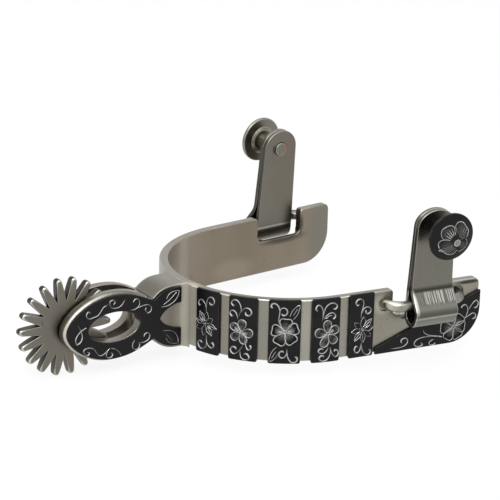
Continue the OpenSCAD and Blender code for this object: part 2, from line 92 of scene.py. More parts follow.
class Nodes:
    """A short way to write the node tree of a material or of the world."""

    def __init__(self, owner, output):
        self.owner = owner
        owner.use_nodes = True
        self.tree = owner.node_tree
        self.tree.nodes.clear()
        self.out = self.add(output)

    def add(self, kind, inputs=(), **settings):
        """A new node; its inputs are other nodes' sockets to link, or plain values."""
        node = self.tree.nodes.new(kind)
        for key, value in settings.items():
            setattr(node, key, value)
        for key, value in dict(inputs).items():
            if isinstance(value, bpy.types.NodeSocket):
                self.tree.links.new(value, node.inputs[key])
            else:
                node.inputs[key].default_value = value
        return node

    def end(self, shader):
        """Sends a shader to the tree's output, and gives back what the tree belongs to."""
        self.tree.links.new(shader.outputs[0], self.out.inputs["Surface"])
        return self.owner

    def coords(self, scale=(1, 1, 1)):
        """The object's own coordinates in metres, scaled."""
        place = self.add("ShaderNodeTexCoord").outputs["Object"]
        return self.add("ShaderNodeMapping", {"Scale": scale, "Vector": place}).outputs["Vector"]

    def axis_mm(self, axis):
        """One of the object's own coordinates in mm."""
        split = self.add("ShaderNodeSeparateXYZ", {0: self.coords()})
        return self.math("MULTIPLY", split.outputs[axis], 1000.0)

    def noise(self, scale, detail, rough, distortion=0.0, stretch=(1, 1, 1)):
        """A noise pattern, whose scale is per metre."""
        return self.add("ShaderNodeTexNoise", {
            "Vector": self.coords(stretch), "Scale": scale, "Detail": detail, "Roughness": rough,
            "Distortion": distortion,
        }).outputs["Fac"]

    def range(self, value, low, high, to_low=0.0, to_high=1.0):
        """Maps one span of a value to another, clamped."""
        return self.add("ShaderNodeMapRange", {
            "Value": value, "From Min": low, "From Max": high, "To Min": to_low, "To Max": to_high,
        }, clamp=True).outputs["Result"]

    def math(self, operation, a, b, clamp=False):
        return self.add("ShaderNodeMath", {0: a, 1: b}, operation=operation, use_clamp=clamp).outputs[0]

    def vector(self, operation, a, b=(0, 0, 0)):
        return self.add("ShaderNodeVectorMath", {0: a, 1: b}, operation=operation).outputs

    def mix(self, factor, a, b, kind="RGBA", blend="MIX"):
        """Mixes two colours, or two numbers where the kind is FLOAT."""
        inputs = {"Factor": factor, "A": a, "B": b}
        return self.add("ShaderNodeMix", inputs, data_type=kind, blend_type=blend).outputs["Result"]

    def grey(self, value):
        inputs = {"Red": value, "Green": value, "Blue": value}
        return self.add("ShaderNodeCombineColor", inputs).outputs["Color"]

    def attribute(self, name):
        """A number that the mesh carries at its points or corners."""
        return self.add("ShaderNodeAttribute", attribute_name=name).outputs["Fac"]

    def bump(self, height, distance, strength, **normal):
        """A bumped normal; the distance is in metres."""
        inputs = {"Height": height, "Distance": distance, "Strength": strength, **normal}
        return self.add("ShaderNodeBump", inputs).outputs["Normal"]

    def near(self, at, radii):
        """1 at a place in mm and 0 outside its radii, softly."""
        away = self.vector("SUBTRACT", self.coords((1000, 1000, 1000)), at)[0]
        away = self.vector("DIVIDE", away, radii)[0]
        return self.range(self.vector("LENGTH", away)["Value"], 0.45, 1.0, 1.0, 0.0)

    def facing_in(self):
        """1 on the faces that look towards the heel's middle."""
        here = self.add("ShaderNodeTexCoord")
        from_middle = self.vector("SUBTRACT", here.outputs["Object"], (HEEL_RADIUS * MM, 0.0, 0.0))[0]
        outward = self.vector("DOT_PRODUCT", from_middle, here.outputs["Normal"])["Value"]
        return self.range(outward, -0.03, -0.015, 1.0, 0.0)

    def facing_along(self):
        """1 on the faces that look forward or back, as a strap's sides do."""
        normal = self.add("ShaderNodeTexCoord").outputs["Normal"]
        along = self.vector("MULTIPLY", normal, (1.0, 0.0, 0.0))[0]
        return self.range(self.vector("LENGTH", along)["Value"], 0.62, 0.88, 0.0, 0.85)

    def finish(self, color, rough, normal, metallic=1.0, **fixed):
        """Ends a material in a Principled shader."""
        return self.end(self.add("ShaderNodeBsdfPrincipled", {
            "Base Color": color, "Roughness": rough, "Normal": normal, "Metallic": metallic, **fixed,
        }))


def material_nodes(name):
    return Nodes(bpy.data.materials.new(name), "ShaderNodeOutputMaterial")


def rgb(red, green, blue):
    return (red, green, blue, 1.0)


# ---------------- materials

# The next three colours are for painted light and painted shade.
PAINTED_LIGHT_STEEL = rgb(0.6, 0.585, 0.5)
PAINTED_DULL_SHADE = rgb(0.1, 0.092, 0.075)
PAINTED_DARK_SHADE = rgb(0.03, 0.027, 0.022)
PIT = rgb(0.03, 0.026, 0.02)
# Painted shade in corners and crevices.
CORNER_SHADE_COLOUR = rgb(0.03, 0.026, 0.021)
# Painted shade for a strap's sides.
STRAP_FLANK_SHADE = rgb(0.05, 0.047, 0.04)
RUBBED_ROUGHNESS = 0.3
CORNER_SHADE_REACH = 0.0018  # metres from a corner
STRAP_BRUSH = (1100, 0, 50)  # brush lines that run up a strap


def steel(name, dark, light, tint=None, rough=(0.26, 0.38), brush=(60, 60, 1400), streak=0.05,
          edge=rgb(0.62, 0.61, 0.57), worn=0.85, corner_shade=0.35, marks=None, walls=None, inside=None,
          places=(), flank_shade=None, bumps=1.0):
    """Satin steel: clouds, faint brush lines, pits, painted shade in corners and rubbed edges, which partly
    stand for painted highlights.

    marks adds a strap's own marks and its painted bands, walls holds the colours of a rowel's cut side walls,
    which are painted shade, inside those of the faces towards the heel's middle, which are painted shade,
    flank colours a strap's sides with painted shade, and places holds soft areas of painted light and shade,
    or of a stain."""
    n = material_nodes(name)
    lines = n.noise(1.0, 4, 0.65, stretch=brush)
    fine = n.noise(2600, 2, 0.6)
    cloud = n.noise(60, 4, 0.6, 0.5)
    broad = n.noise(26, 2, 0.5, stretch=(1, 1, 0.45)) if tint or inside else None
    pits = n.noise(800, 1, 0.4)
    base = n.mix(n.range(cloud, 0.32, 0.68), dark, light)
    if tint:
        base = n.mix(n.range(broad, 0.4, 0.66), base, tint)
    # Painted shade: the faces towards the heel's middle get a darker, browner tone.
    if inside:
        base = n.mix(n.facing_in(), base, n.mix(n.range(broad, 0.38, 0.62), *inside))
    shade = n.grey(n.range(lines, 0.25, 0.75, 1.0 - streak, 1.0 + streak))
    brushed = n.range(n.facing_in(), 0.0, 1.0, 1.0, 0.1) if inside else 1.0
    base = n.mix(brushed, base, shade, blend="MULTIPLY")
    mixed = n.math("ADD", n.math("MULTIPLY", lines, 0.4), n.math("MULTIPLY", cloud, 0.6))
    roughness = n.range(mixed, 0.35, 0.65, *rough)
    height = lines
    if marks:
        base, height = marks(n, base, lines)
    # Painted shade: the rowel's side walls are darkened.
    if walls:
        base = n.mix(n.attribute("side"), base, n.mix(n.range(cloud, 0.35, 0.65), *walls))
    base = n.mix(n.range(pits, 0.74, 0.8, 0.0, 0.5), base, PIT)
    # Painted shade: darker in corners and crevices, found by ambient occlusion.
    if corner_shade:
        corners = n.add("ShaderNodeAmbientOcclusion", {"Distance": CORNER_SHADE_REACH}, samples=6, only_local=False)
        base = n.mix(n.range(corners.outputs["AO"], 0.25, 0.85, corner_shade, 0.0), base, CORNER_SHADE_COLOUR)
    patchy = n.range(n.noise(130, 2, 0.5), 0.3, 0.62, 0.6 * worn, worn)
    rub = n.math("MULTIPLY", n.attribute("wear_and_highlight"), patchy)
    base = n.mix(rub, base, edge)
    roughness = n.mix(rub, roughness, RUBBED_ROUGHNESS, "FLOAT")
    # Painted shade: the sides of a strap are darkened.
    if flank_shade:
        base = n.mix(n.facing_along(), base, flank_shade)
    # Soft areas of painted light and shade, or of a stain.
    for at, radii, colour, amount, matt in places:
        here = n.near(at, radii)
        base = n.mix(n.math("MULTIPLY", here, amount), base, colour)
        if matt:
            roughness = n.mix(here, roughness, matt, "FLOAT")
    normal = n.bump(height, 0.00001, 0.1 * bumps)
    normal = n.bump(fine, 0.000005, 0.05 * bumps, Normal=normal)
    return n.finish(base, roughness, normal)


def black(name, rough=(0.26, 0.38)):
    """Blued black finish with rubbed edges and faint scuffs, which isn't metallic."""
    n = material_nodes(name)
    cloud = n.noise(90, 3, 0.6)
    scuff = n.noise(1.0, 3, 0.7, stretch=(900, 900, 120))
    fine = n.noise(1800, 3, 0.6)
    cloudy = n.range(cloud, 0.35, 0.65)
    base = n.mix(cloudy, rgb(0.0012, 0.0013, 0.0022), rgb(0.0035, 0.0032, 0.0040))
    base = n.mix(n.range(scuff, 0.68, 0.82, 0.0, 0.3), base, rgb(0.025, 0.024, 0.026))
    patchy = n.range(n.noise(300, 4, 0.7), 0.45, 0.72, 0.05, 0.5)
    base = n.mix(n.math("MULTIPLY", n.attribute("wear_and_highlight"), patchy), base, rgb(0.07, 0.062, 0.056))
    roughness = n.range(cloud, 0.3, 0.7, *rough)
    normal = n.bump(fine, 0.00001, 0.2)
    return n.finish(base, roughness, normal, metallic=0.0, **{"Specular IOR Level": 0.2})


def level_band(n, base, z, starts, full, fades, ends, amount, colour):
    """A level band of a colour: it rises from starts to full and falls from fades to ends."""
    band = n.math("MULTIPLY", n.range(z, starts, full), n.range(z, fades, ends, 1.0, 0.0))
    return n.mix(n.math("MULTIPLY", band, amount), base, colour)


# Level bands of painted reflection and painted shade on the straps: starts, full, fades, ends, amount and
# colour, as level_band takes them
EYE_TOP_PAINTED_BAND = (10.9, 11.7, 12.1, 13.2, 0.85, rgb(0.03, 0.03, 0.026))
EYE_PAINTED_BANDS = (
    (5.4, 6.0, 6.6, 7.4, 0.4, rgb(0.26, 0.26, 0.24)),
    (3.1, 3.5, 4.2, 5.6, 0.65, rgb(0.05, 0.05, 0.045)),
    (2.2, 2.6, 2.9, 3.2, 0.6, rgb(0.42, 0.42, 0.4)),
    (-0.9, 0.2, 1.4, 2.2, 0.4, rgb(0.23, 0.23, 0.22)),
    (-3.0, -2.9, -1.0, -0.3, 0.6, rgb(0.03, 0.03, 0.028)),
)
FOOT_PAINTED_BANDS = (
    (4.4, 4.8, 5.1, 5.5, 0.7, rgb(0.5, 0.48, 0.43)),
    (2.6, 3.0, 4.0, 4.5, 0.75, rgb(0.03, 0.026, 0.022)),
)


def eye_marks_and_painted_bands(n, base, lines):
    """The dressed eye of the near hanger: upright marks, a painted dark band at its top and painted
    reflections in bands down its curve.
    """
    strokes = n.noise(1.0, 2, 0.6, stretch=(2600, 0, 45))
    wander = n.math("SUBTRACT", n.noise(1.0, 1, 0.5, stretch=(1500, 0, 0)), 0.5)
    x = n.axis_mm("X")
    z = n.axis_mm("Z")
    low = n.range(n.math("ADD", z, n.math("MULTIPLY", wander, 3.0)), 7.2, 8.0)
    ends = n.math("MULTIPLY", n.range(x, 61.2, 64.0), n.range(x, 75.4, 76.8, 1.0, 0.2))
    here = n.math("MULTIPLY", n.math("MULTIPLY", low, ends), n.range(z, 10.9, 11.5, 1.0, 0.0))
    struck = n.math("MULTIPLY", here, n.range(strokes, 0.47, 0.56))

    # Painted shade along the top of the eye.
    base = level_band(n, base, z, *EYE_TOP_PAINTED_BAND)
    base = n.mix(n.math("MULTIPLY", here, 0.6), base, rgb(0.13, 0.13, 0.115))
    base = n.mix(struck, base, rgb(0.5, 0.49, 0.45))
    # Painted reflections: light and dark bands down the eye's curve.
    for band in EYE_PAINTED_BANDS:
        base = level_band(n, base, z, *band)
    return base, n.math("ADD", lines, n.math("MULTIPLY", n.math("MULTIPLY", here, strokes), 3.0))


def foot_painted_reflections(n, base, lines):
    """Painted reflection and shade: bright and dark lines where the far hanger's strap curls into its eye."""
    z = n.axis_mm("Z")
    # Painted reflections and painted shade.
    for band in FOOT_PAINTED_BANDS:
        base = level_band(n, base, z, *band)
    return base, lines


# Places are soft areas of tone, mostly painted light and painted shade, and one rust stain: a middle, radii,
# colour, amount and roughness (0 leaves the roughness alone).
ROOT_PAINTED_LIGHT = ((-3.6, -9.2, 0), (6, 5.4, 40), PAINTED_LIGHT_STEEL, 0.55, 0.75)  # painted light where the near arm meets the shank
BAND_STEEL = steel(
    "band_steel", rgb(0.24, 0.234, 0.198), rgb(0.3, 0.292, 0.252), tint=rgb(0.25, 0.232, 0.192),
    inside=(rgb(0.2, 0.168, 0.126), rgb(0.255, 0.218, 0.172)), corner_shade=0.2,
    places=(
        ROOT_PAINTED_LIGHT,
        # painted light on the near arm at the gap after the third plate
        ((24.3, -43, 0), (4, 5, 40), PAINTED_LIGHT_STEEL, 0.2, 0),
        # painted reflections, lighter and darker, on the heel's inner face and the far arm
        ((10.5, 26.5, 0), (7.5, 9, 40), rgb(0.3, 0.285, 0.235), 0.5, 0),
        ((20.5, 35.6, 0), (4.5, 3.5, 30), rgb(0.32, 0.29, 0.24), 0.5, 0),
        ((45, 41.6, -7), (13, 4, 5.5), rgb(0.29, 0.25, 0.195), 0.6, 0),
        ((88, 46, 0), (9, 6, 17), rgb(0.19, 0.182, 0.149), 0.9, 0),
        # painted shade and painted light beside the near pin's ends
        ((86.5, -49.5, 10), (6.5, 3, 0.9), PAINTED_DARK_SHADE, 0.9, 0.4),
        ((82.6, -46.5, 7.6), (3.4, 4, 3.2), PAINTED_DARK_SHADE, 0.5, 0),
        ((53.2, -44.6, 6.4), (4.6, 4, 4.6), PAINTED_LIGHT_STEEL, 0.6, 0.5),
        # painted shade under and beside the far notch
        ((68, 45, 1), (14, 4, 2.4), PAINTED_DARK_SHADE, 0.7, 0.5),
        ((77.6, 46, 5.4), (1.9, 5, 5), PAINTED_DARK_SHADE, 0.75, 0.4),
    ),
)
SHANK_STEEL = steel(
    "shank_steel", rgb(0.22, 0.208, 0.175), rgb(0.28, 0.268, 0.232), tint=rgb(0.225, 0.195, 0.158),
    corner_shade=0.25,
    places=(
        ROOT_PAINTED_LIGHT,
        # painted shade on the waist, the ring's top and the window's wall, and a painted highlight at the
        # ring's tip
        ((-15, 0, 9), (9, 9, 6), PAINTED_DULL_SHADE, 0.5, 0),
        ((-27, -6.5, 12), (10, 3, 5), PAINTED_DULL_SHADE, 0.6, 0),
        ((-22.5, -1, 1), (4, 9, 5.5), PAINTED_DULL_SHADE, 0.5, 0),
        ((-49.6, -6.5, 2.6), (2.6, 3, 5.5), PAINTED_LIGHT_STEEL, 0.7, 0),
    ),
)
NEAR_STRAP = steel(
    "near_strap_steel", rgb(0.15, 0.152, 0.122), rgb(0.185, 0.185, 0.152), tint=rgb(0.165, 0.155, 0.13),
    rough=(0.24, 0.32), brush=STRAP_BRUSH, edge=rgb(0.6, 0.59, 0.54), worn=0.9, marks=eye_marks_and_painted_bands,
    flank_shade=STRAP_FLANK_SHADE, bumps=0.15,
    # painted highlight along the left rim of the eye
    places=(((60.3, -53, 7.4), (0.95, 6, 5.2), rgb(0.75, 0.74, 0.69), 0.95, 0.3),),
)
FAR_STRAP = steel(
    "far_strap_steel", rgb(0.15, 0.143, 0.115), rgb(0.175, 0.168, 0.14), tint=rgb(0.165, 0.137, 0.115),
    rough=(0.3, 0.4), brush=STRAP_BRUSH, streak=0.03, edge=rgb(0.36, 0.345, 0.305), worn=0.7,
    marks=foot_painted_reflections, flank_shade=STRAP_FLANK_SHADE, bumps=0.3,
    places=(
        ((71.7, 45.5, 36.3), (0.55, 4, 1.4), rgb(0.3, 0.07, 0.025), 0.85, 0.5),
        # painted shadow beside the rivet's tail
        ((65.6, 45.5, 36), (0.9, 4, 2.3), PAINTED_DARK_SHADE, 0.7, 0.4),
    ),
)
ROWEL = steel(
    "rowel_steel", rgb(0.15, 0.14, 0.118), rgb(0.185, 0.175, 0.148), tint=rgb(0.165, 0.142, 0.118),
    brush=(500, 60, 500), rough=(0.28, 0.42), edge=rgb(0.7, 0.69, 0.65), corner_shade=0.12,
    # The dark wall colours are painted shade.
    walls=(rgb(0.035, 0.033, 0.028), rgb(0.06, 0.057, 0.048)),
)
PIN = steel(
    "pin_steel", rgb(0.22, 0.215, 0.185), rgb(0.3, 0.29, 0.26), rough=(0.2, 0.3), streak=0.08, corner_shade=0,
    places=(
        # a painted highlight on the left elbow, painted shade at the right end and where the pin meets the
        # strap
        ((53.4, -48, 6.8), (4.5, 5, 3.4), PAINTED_LIGHT_STEEL, 0.6, 0),
        ((83, -51, 6.5), (5, 8, 5), rgb(0.11, 0.085, 0.068), 0.95, 0.35),
        ((60.8, -53, 6.5), (3, 5, 5), rgb(0.06, 0.052, 0.042), 0.9, 0.4),
    ),
)
# The far pin's steel is a darker copy of the pin's: painted shade.
FAR_PIN_SHADED = steel("far_pin_shaded_steel", rgb(0.12, 0.11, 0.095), rgb(0.18, 0.17, 0.15), rough=(0.2, 0.3), streak=0.1)
BUTTON_STEEL = steel(
    "button_steel", rgb(0.16, 0.145, 0.12), rgb(0.2, 0.187, 0.158), brush=(500, 500, 500),
    rough=(0.25, 0.36), edge=rgb(0.42, 0.41, 0.37), corner_shade=0.7,
)
BLACK = black("blackened_finish")
BUTTON_BLACK = black("blackened_button", rough=(0.1, 0.16))


# ---------------- rounded solids

SHARP = math.radians(30.0)  # an edge that turns more than this is rounded


def clamp(value, low=0.0, high=1.0):
    return min(high, max(low, value))


def shade_by_area(mesh, limit):
    """Corner normals weighted by face area, so flats stay flat beside round edges."""
    cos_limit = math.cos(math.radians(limit))
    normals = [face.normal.copy() for face in mesh.polygons]
    areas = [face.area for face in mesh.polygons]
    around = [[] for _ in mesh.vertices]
    for face in mesh.polygons:
        for v in face.vertices:
            around[v].append(face.index)
    corners = []
    for face in mesh.polygons:
        own = normals[face.index]
        for v in face.vertices:
            total = Vector((0.0, 0.0, 0.0))
            for other in around[v]:
                if normals[other].dot(own) > cos_limit:
                    total += normals[other] * areas[other]
            corners.append(total.normalized() if total.length > 0 else own)
    for face in mesh.polygons:
        face.use_smooth = True
    mesh.normals_split_custom_set(corners)


def write_mesh(bm, mesh, limit=50.0):
    """Turns a mesh's faces outward, writes it and shades it."""
    bmesh.ops.recalc_face_normals(bm, faces=bm.faces)
    bm.to_mesh(mesh)
    bm.free()
    shade_by_area(mesh, limit)


def new_object(name, data):
    o = bpy.data.objects.new(name, data)
    bpy.context.scene.collection.objects.link(o)
    return o


def piece(name, mesh, body, slot, *materials):
    """Adds a finished mesh as a piece that rides on a body."""
    for m in materials:
        mesh.materials.append(m)
    o = new_object(name, mesh)
    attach(o, body)
    return o


def ends_mm(edge):
    """The places of an edge's two ends."""
    return [v.co / MM for v in edge.verts]


def round_edges(bm, edges, width, segments, rubbed):
    """Bevels the edges and writes where they are worn, which the materials also use for painted highlights.
    """
    made = set(bmesh.ops.bevel(
        bm, geom=edges, offset=width * MM, offset_type="OFFSET", segments=segments,
        profile=0.5, affect="EDGES", clamp_overlap=False, miter_outer="ARC", spread=width * MM * 0.3,
    )["faces"])
    wear_and_highlight = bm.loops.layers.float.get("wear_and_highlight") or bm.loops.layers.float.new("wear_and_highlight")
    for face in made:
        for corner in face.loops:
            amount = rubbed(corner.vert.co / MM) if rubbed else 1.0
            inner = all(near in made for near in corner.vert.link_faces)
            corner[wear_and_highlight] = amount if inner else 0.0


def refine(node, width, material, other=None, rubbed=None, joined=None):
    """A copy of a CAD node with its sharp edges rounded, in place of the node.

    other is another width with the test that picks its edges; rubbed says how worn the
    edges are at a point, partly as a painted highlight; joined picks the edges that run into another piece."""
    bm = bmesh.new()
    bm.from_mesh(frame["nodes"][node].data)
    bmesh.ops.remove_doubles(bm, verts=bm.verts, dist=2e-6)
    bmesh.ops.dissolve_limit(bm, angle_limit=math.radians(0.4), verts=bm.verts, edges=bm.edges)

    def sharp():
        edges = [edge for edge in bm.edges if edge.is_manifold and edge.calc_face_angle() > SHARP]
        return [edge for edge in edges if not (joined and joined(*ends_mm(edge)))]

    if other:
        other_width, picks = other
        round_edges(bm, [edge for edge in sharp() if picks(*ends_mm(edge))], other_width, 4, rubbed)
    round_edges(bm, sharp(), width, 3, rubbed)
    mesh = bpy.data.meshes.new(node + "_finish")
    write_mesh(bm, mesh)
    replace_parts(piece(node + "_finish", mesh, BODY[node], SLOT[node], material), node)


def ring_rim(*ends):
    """The outer edges of the shank's two cheeks, away from the window."""
    def on_rim(p):
        window = math.hypot((p.x - WINDOW_X) / WINDOW_HALF_LENGTH, p.z / WINDOW_HALF_HEIGHT)
        return abs(p.y) > SHANK_FACE - 0.1 and p.x < -17.0 and window > 1.15

    return all(on_rim(p) for p in ends)


def shank_joins(*ends):
    """Where the shank runs into the heel band or holds the rowel pin."""
    at = ROWEL_AT / MM
    return all(p.x > -3.6 or math.hypot(p.x - at.x, p.z - at.z) < 2.2 for p in ends)


def pin_pocket(*ends):
    """The edges of the pockets that hold the hanger pins' ends."""
    def in_pocket(p):
        height = SWING["pos_m"][2] / MM
        return abs(p.y) > 42.0 and any(math.hypot(p.x - x, p.z - height) < 4.0 for x in PIN_ENDS)

    return all(in_pocket(p) for p in ends)


def plate_corner(a, b):
    """The edges at a trim plate's four corners, through its thickness."""
    through = (a - b).normalized()
    away = Vector(((a.x + b.x) / 2 - HEEL_RADIUS, (a.y + b.y) / 2, 0.0)).normalized()
    return abs(a.z) > PLATE_HALF_HEIGHT - 0.3 and abs(through.dot(away)) > 0.9


def shank_wear_and_highlight(p):
    """Wear with a painted highlight: most at the ring's tip, least at the neck."""
    return clamp((-37.0 - p.x) / 12.0, 0.12, 0.85)


def eye_wear_and_highlight(p):
    """Wear with a painted highlight: the near hanger is most rubbed at the front of its eye."""
    if p.z > 12.0:
        return 0.35
    return 1.0 if p.y < -54.0 else 0.1


def band_wear_and_highlight(p):
    """Wear with a painted highlight: the near side's edges, from the heel to the notch, are rubbed more than
    the others.
    """
    return 0.9 if p.y < 0 and p.x < 52 else 0.35


for node, width, material in (
    ("rowel_pin", 0.25, SHANK_STEEL),
    ("shank_plate", 0.2, BLACK),
    ("corner_plate", 0.3, BLACK),
    ("near_hanger_pin", 0.2, PIN),
    ("near_button", 0.2, BUTTON_BLACK),
    ("near_button_stud", 0.15, BUTTON_BLACK),
    ("far_hanger_pin", 0.2, FAR_PIN_SHADED),
    ("far_hanger", 0.3, FAR_STRAP),
    ("far_button", 0.2, BUTTON_STEEL),
    ("far_button_stud", 0.15, BUTTON_STEEL),
):
    refine(node, width, material)
refine("near_hanger", 0.35, NEAR_STRAP, rubbed=eye_wear_and_highlight)
refine("heel_band", 0.5, BAND_STEEL, other=(0.12, pin_pocket), rubbed=band_wear_and_highlight)
for i in range(len(PLATE_WIDTHS)):
    refine(f"trim_plate_{i + 1}", 0.3, BLACK, other=(0.7, plate_corner))
refine("shank", 0.3, SHANK_STEEL, other=(1.1, ring_rim), rubbed=shank_wear_and_highlight, joined=shank_joins)


# ---------------- rowel

ROWEL_RADIUS = 17.4  # to the spokes' tips
ROWEL_CORE = 10.2  # to the spokes' feet
ROWEL_THICK = 3.2
ROWEL_TURN = math.radians(18.0)  # at rest
SPOKES = 18
SPOKE_FOOT = 3.3
SPOKE_TIP = 2.3
BORE_RADIUS = 1.66
BORE_CHAMFER = 0.15
BORE_POINTS = 48


def rowel_outline():
    """The star's outline round its axis, spoke after spoke."""
    tip = SPOKE_TIP / 2
    reach = ROWEL_RADIUS - tip
    pitch = 2 * math.pi / SPOKES
    lean = (SPOKE_FOOT - SPOKE_TIP) / 2 / (reach - ROWEL_CORE + 1.0)
    # The root is where a spoke's side meets its neighbour's.
    tries = (ROWEL_CORE - 1.0 + step * 0.02 for step in range(400))
    root = next(r for r in tries if r * math.tan(pitch / 2) >= tip + lean * (reach - r))
    half_root = tip + lean * (reach - root)
    side = [(root + (reach - root) * t, -(half_root + (tip - half_root) * t))
            for t in (0.0, 0.08, 0.25, 0.5, 0.75, 0.92)]
    cap = [(reach + tip * math.cos(a), tip * math.sin(a))
           for a in (math.radians(degrees) for degrees in range(-90, 91, 15))]
    other_side = [(r, -w) for r, w in side[:0:-1]]
    outline = []
    for i in range(SPOKES):
        a = ROWEL_TURN + i * pitch
        along = Vector((math.cos(a), math.sin(a)))
        across = Vector((-math.sin(a), math.cos(a)))
        outline += [along * r + across * w for r, w in (*side, *cap, *other_side)]
    return outline


def star_loops(bm):
    """Loops of the star's outline, drawn in towards both faces and most at the tips."""
    outline = rowel_outline()
    inward = []
    for i, p in enumerate(outline):
        d = (outline[(i + 1) % len(outline)] - outline[i - 1]).normalized()
        inward.append(Vector((-d.y, d.x)))
    steps = (0.0, 0.12, 0.3, 0.55, 1.0)
    loops = []
    for sign, order in ((-1, steps), (1, steps[::-1])):
        for k in order:
            drawn_in = 1.0 - math.sqrt(1.0 - (1.0 - k) ** 2)
            ring = []
            for p, q in zip(outline, inward):
                worn = clamp((p.length - 13.2) / 3.4) ** 1.5
                cut = 0.2 + 0.42 * worn
                depth = 0.2 + 0.6 * worn
                s = p + q * (cut * drawn_in)
                y = sign * (ROWEL_THICK / 2 - depth * k)
                ring.append(bm.verts.new(ROWEL_AT + Vector((s.x, y, s.y)) * MM))
            loops.append(ring)
    return loops


def bore_loops(bm):
    """Loops of the bore, chamfered at both faces."""
    half = ROWEL_THICK / 2
    loops = []
    for y in (-half, -half + BORE_CHAMFER, half - BORE_CHAMFER, half):
        r = BORE_RADIUS + (BORE_CHAMFER if abs(y) == half else 0.0)
        ring = []
        for i in range(BORE_POINTS):
            a = 2 * math.pi * i / BORE_POINTS
            ring.append(bm.verts.new(ROWEL_AT + Vector((r * math.cos(a), y, r * math.sin(a))) * MM))
        loops.append(ring)
    return loops


def mark_rowel(bm):
    """Writes where the rowel is rubbed, with painted highlights on the tips, and which faces are its side
    walls, which its material darkens as painted shade.
    """
    wear_and_highlight = bm.loops.layers.float.new("wear_and_highlight")
    side = bm.loops.layers.float.new("side")
    highlight_direction = Vector((-0.75, 0.0, 0.66))  # the direction in which the tips get a painted highlight on top of their wear
    for face in bm.faces:
        for corner in face.loops:
            p = corner.vert.co - ROWEL_AT
            r = math.hypot(p.x, p.z) / MM
            # Painted light: the lower spokes' walls are less dark towards their tips.
            tip_light = 0.0 if p.z > 0 else clamp((r - 14.0) / 5.0, 0.0, 0.5)
            corner[side] = 1.0 - tip_light if abs(face.normal.y) < 0.35 else 0.0
            round_part = 1.0 if abs(face.normal.y) < 0.985 and abs(p.y) / MM > 0.2 else 0.0
            most = 1.0 if r > 15.6 and p.normalized().dot(highlight_direction) > 0.2 else 0.6
            rub = min(most, max(0.35, (r - 14.2) / 2.4))
            corner[wear_and_highlight] = 0.0 if corner[side] else round_part * rub


def make_rowel():
    """The star with round spoke tips, which takes the CAD rowel's place."""
    bm = bmesh.new()
    star = star_loops(bm)
    bore = bore_loops(bm)
    for a, b in (*zip(star, star[1:]), *zip(bore, bore[1:])):
        for i in range(len(a)):
            j = (i + 1) % len(a)
            bm.faces.new((a[i], a[j], b[j], b[i]))
    for rings in ((star[0], bore[0]), (star[-1], bore[-1])):
        edges = [bm.edges.get((ring[i], ring[(i + 1) % len(ring)]))
                 for ring in rings for i in range(len(ring))]
        bmesh.ops.triangle_fill(bm, use_beauty=True, edges=edges)
    bm.normal_update()
    mark_rowel(bm)
    mesh = bpy.data.meshes.new("rowel_finish")
    write_mesh(bm, mesh, 55.0)
    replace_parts(piece("rowel_finish", mesh, "rowel", SLOT["rowel"], ROWEL), "rowel")


make_rowel()


# ---------------- engraving
# All of it is in millimetres on the plate it decorates.

BRIGHT, SHADED, FINE, CLOUDED = range(4)  # a carving's kinds of cut: their places in CUT_METALS
BURIED = -0.06  # how far a cut's underside lies inside its plate
STEM = (0.28, 0.7)  # a tendril's width where it leaves its stem and in its curl
RIB = 0.24  # width of the rib in a pointed petal


def cut_metal(name, low, high, tones, rough, grain, spread=0.9):
    """Cut metal from a dark tone to a bright one, by the carving's own tone."""
    n = material_nodes(name)
    spots = n.noise(grain, 3, 0.6)
    tone = n.range(n.attribute("tone"), *tones)
    spotted = n.math("MULTIPLY", n.math("SUBTRACT", spots, 0.5), spread)
    base = n.mix(n.math("ADD", tone, spotted, clamp=True), low, high)
    return n.finish(base, n.range(spots, 0.3, 0.7, *rough), n.bump(spots, 0.00002, 0.3))


CUT_METALS = (
    cut_metal("bright_cut", rgb(0.13, 0.13, 0.126), rgb(0.72, 0.715, 0.69),
              tones=(0.15, 1.0), rough=(0.22, 0.34), grain=900),
    cut_metal("shaded_cut", rgb(0.01, 0.01, 0.011), rgb(0.065, 0.065, 0.063),
              tones=(0.9, 0.2), rough=(0.35, 0.5), grain=1100),
    cut_metal("fine_cut", rgb(0.1, 0.1, 0.1), rgb(0.34, 0.34, 0.33),
              tones=(0.1, 0.95), rough=(0.3, 0.42), grain=1500),
    cut_metal("grey_cut", rgb(0.012, 0.012, 0.012), rgb(0.16, 0.16, 0.155),
              tones=(0.5, 1.3), rough=(0.32, 0.45), grain=700, spread=1.6),
)


def arm_frame(u, z, out):
    """A point of the near arm, u along it and a distance out from its face."""
    outward = Vector((-math.cos(TURN), -math.sin(TURN), 0.0))
    along = Vector((math.sin(TURN), -math.cos(TURN), 0.0))
    return (Vector((HEEL_RADIUS, 0, 0)) + outward * (OUTER + out) + along * u + Vector((0, 0, z))) * MM


def on_band(middle):
    """The surface of a trim plate: a point across, up and out from the plate's middle."""
    def at(across, z, height):
        run = middle + across
        if run > HEEL_RUN:
            return arm_frame(run - HEEL_RUN, z, PLATE + height)
        r = OUTER + PLATE + height
        angle = run / OUTER
        return Vector((HEEL_RADIUS - r * math.cos(angle), -r * math.sin(angle), z)) * MM

    return at


def on_corner(u, z, height):
    """The surface of the corner plate, measured along the arm."""
    return arm_frame(u, z, PLATE + height)


def on_shank(x, z, height):
    """The surface of the shank plate."""
    return Vector((x, -(SHANK_FACE + SHANK_PLATE + height), z)) * MM


def smooth(points, step=5):
    """A curve through the points (Catmull-Rom)."""
    p = [Vector(q) for q in points]
    p = [2 * p[0] - p[1], *p, 2 * p[-1] - p[-2]]
    out = []
    for i in range(1, len(p) - 2):
        a, b, c, d = p[i - 1 : i + 3]
        for k in range(step):
            t = k / step
            out.append(
                0.5 * (2 * b + (c - a) * t + (2 * a - 5 * b + 4 * c - d) * t * t
                       + (3 * b - a - 3 * c + d) * t ** 3)
            )
    out.append(p[-2])
    return out


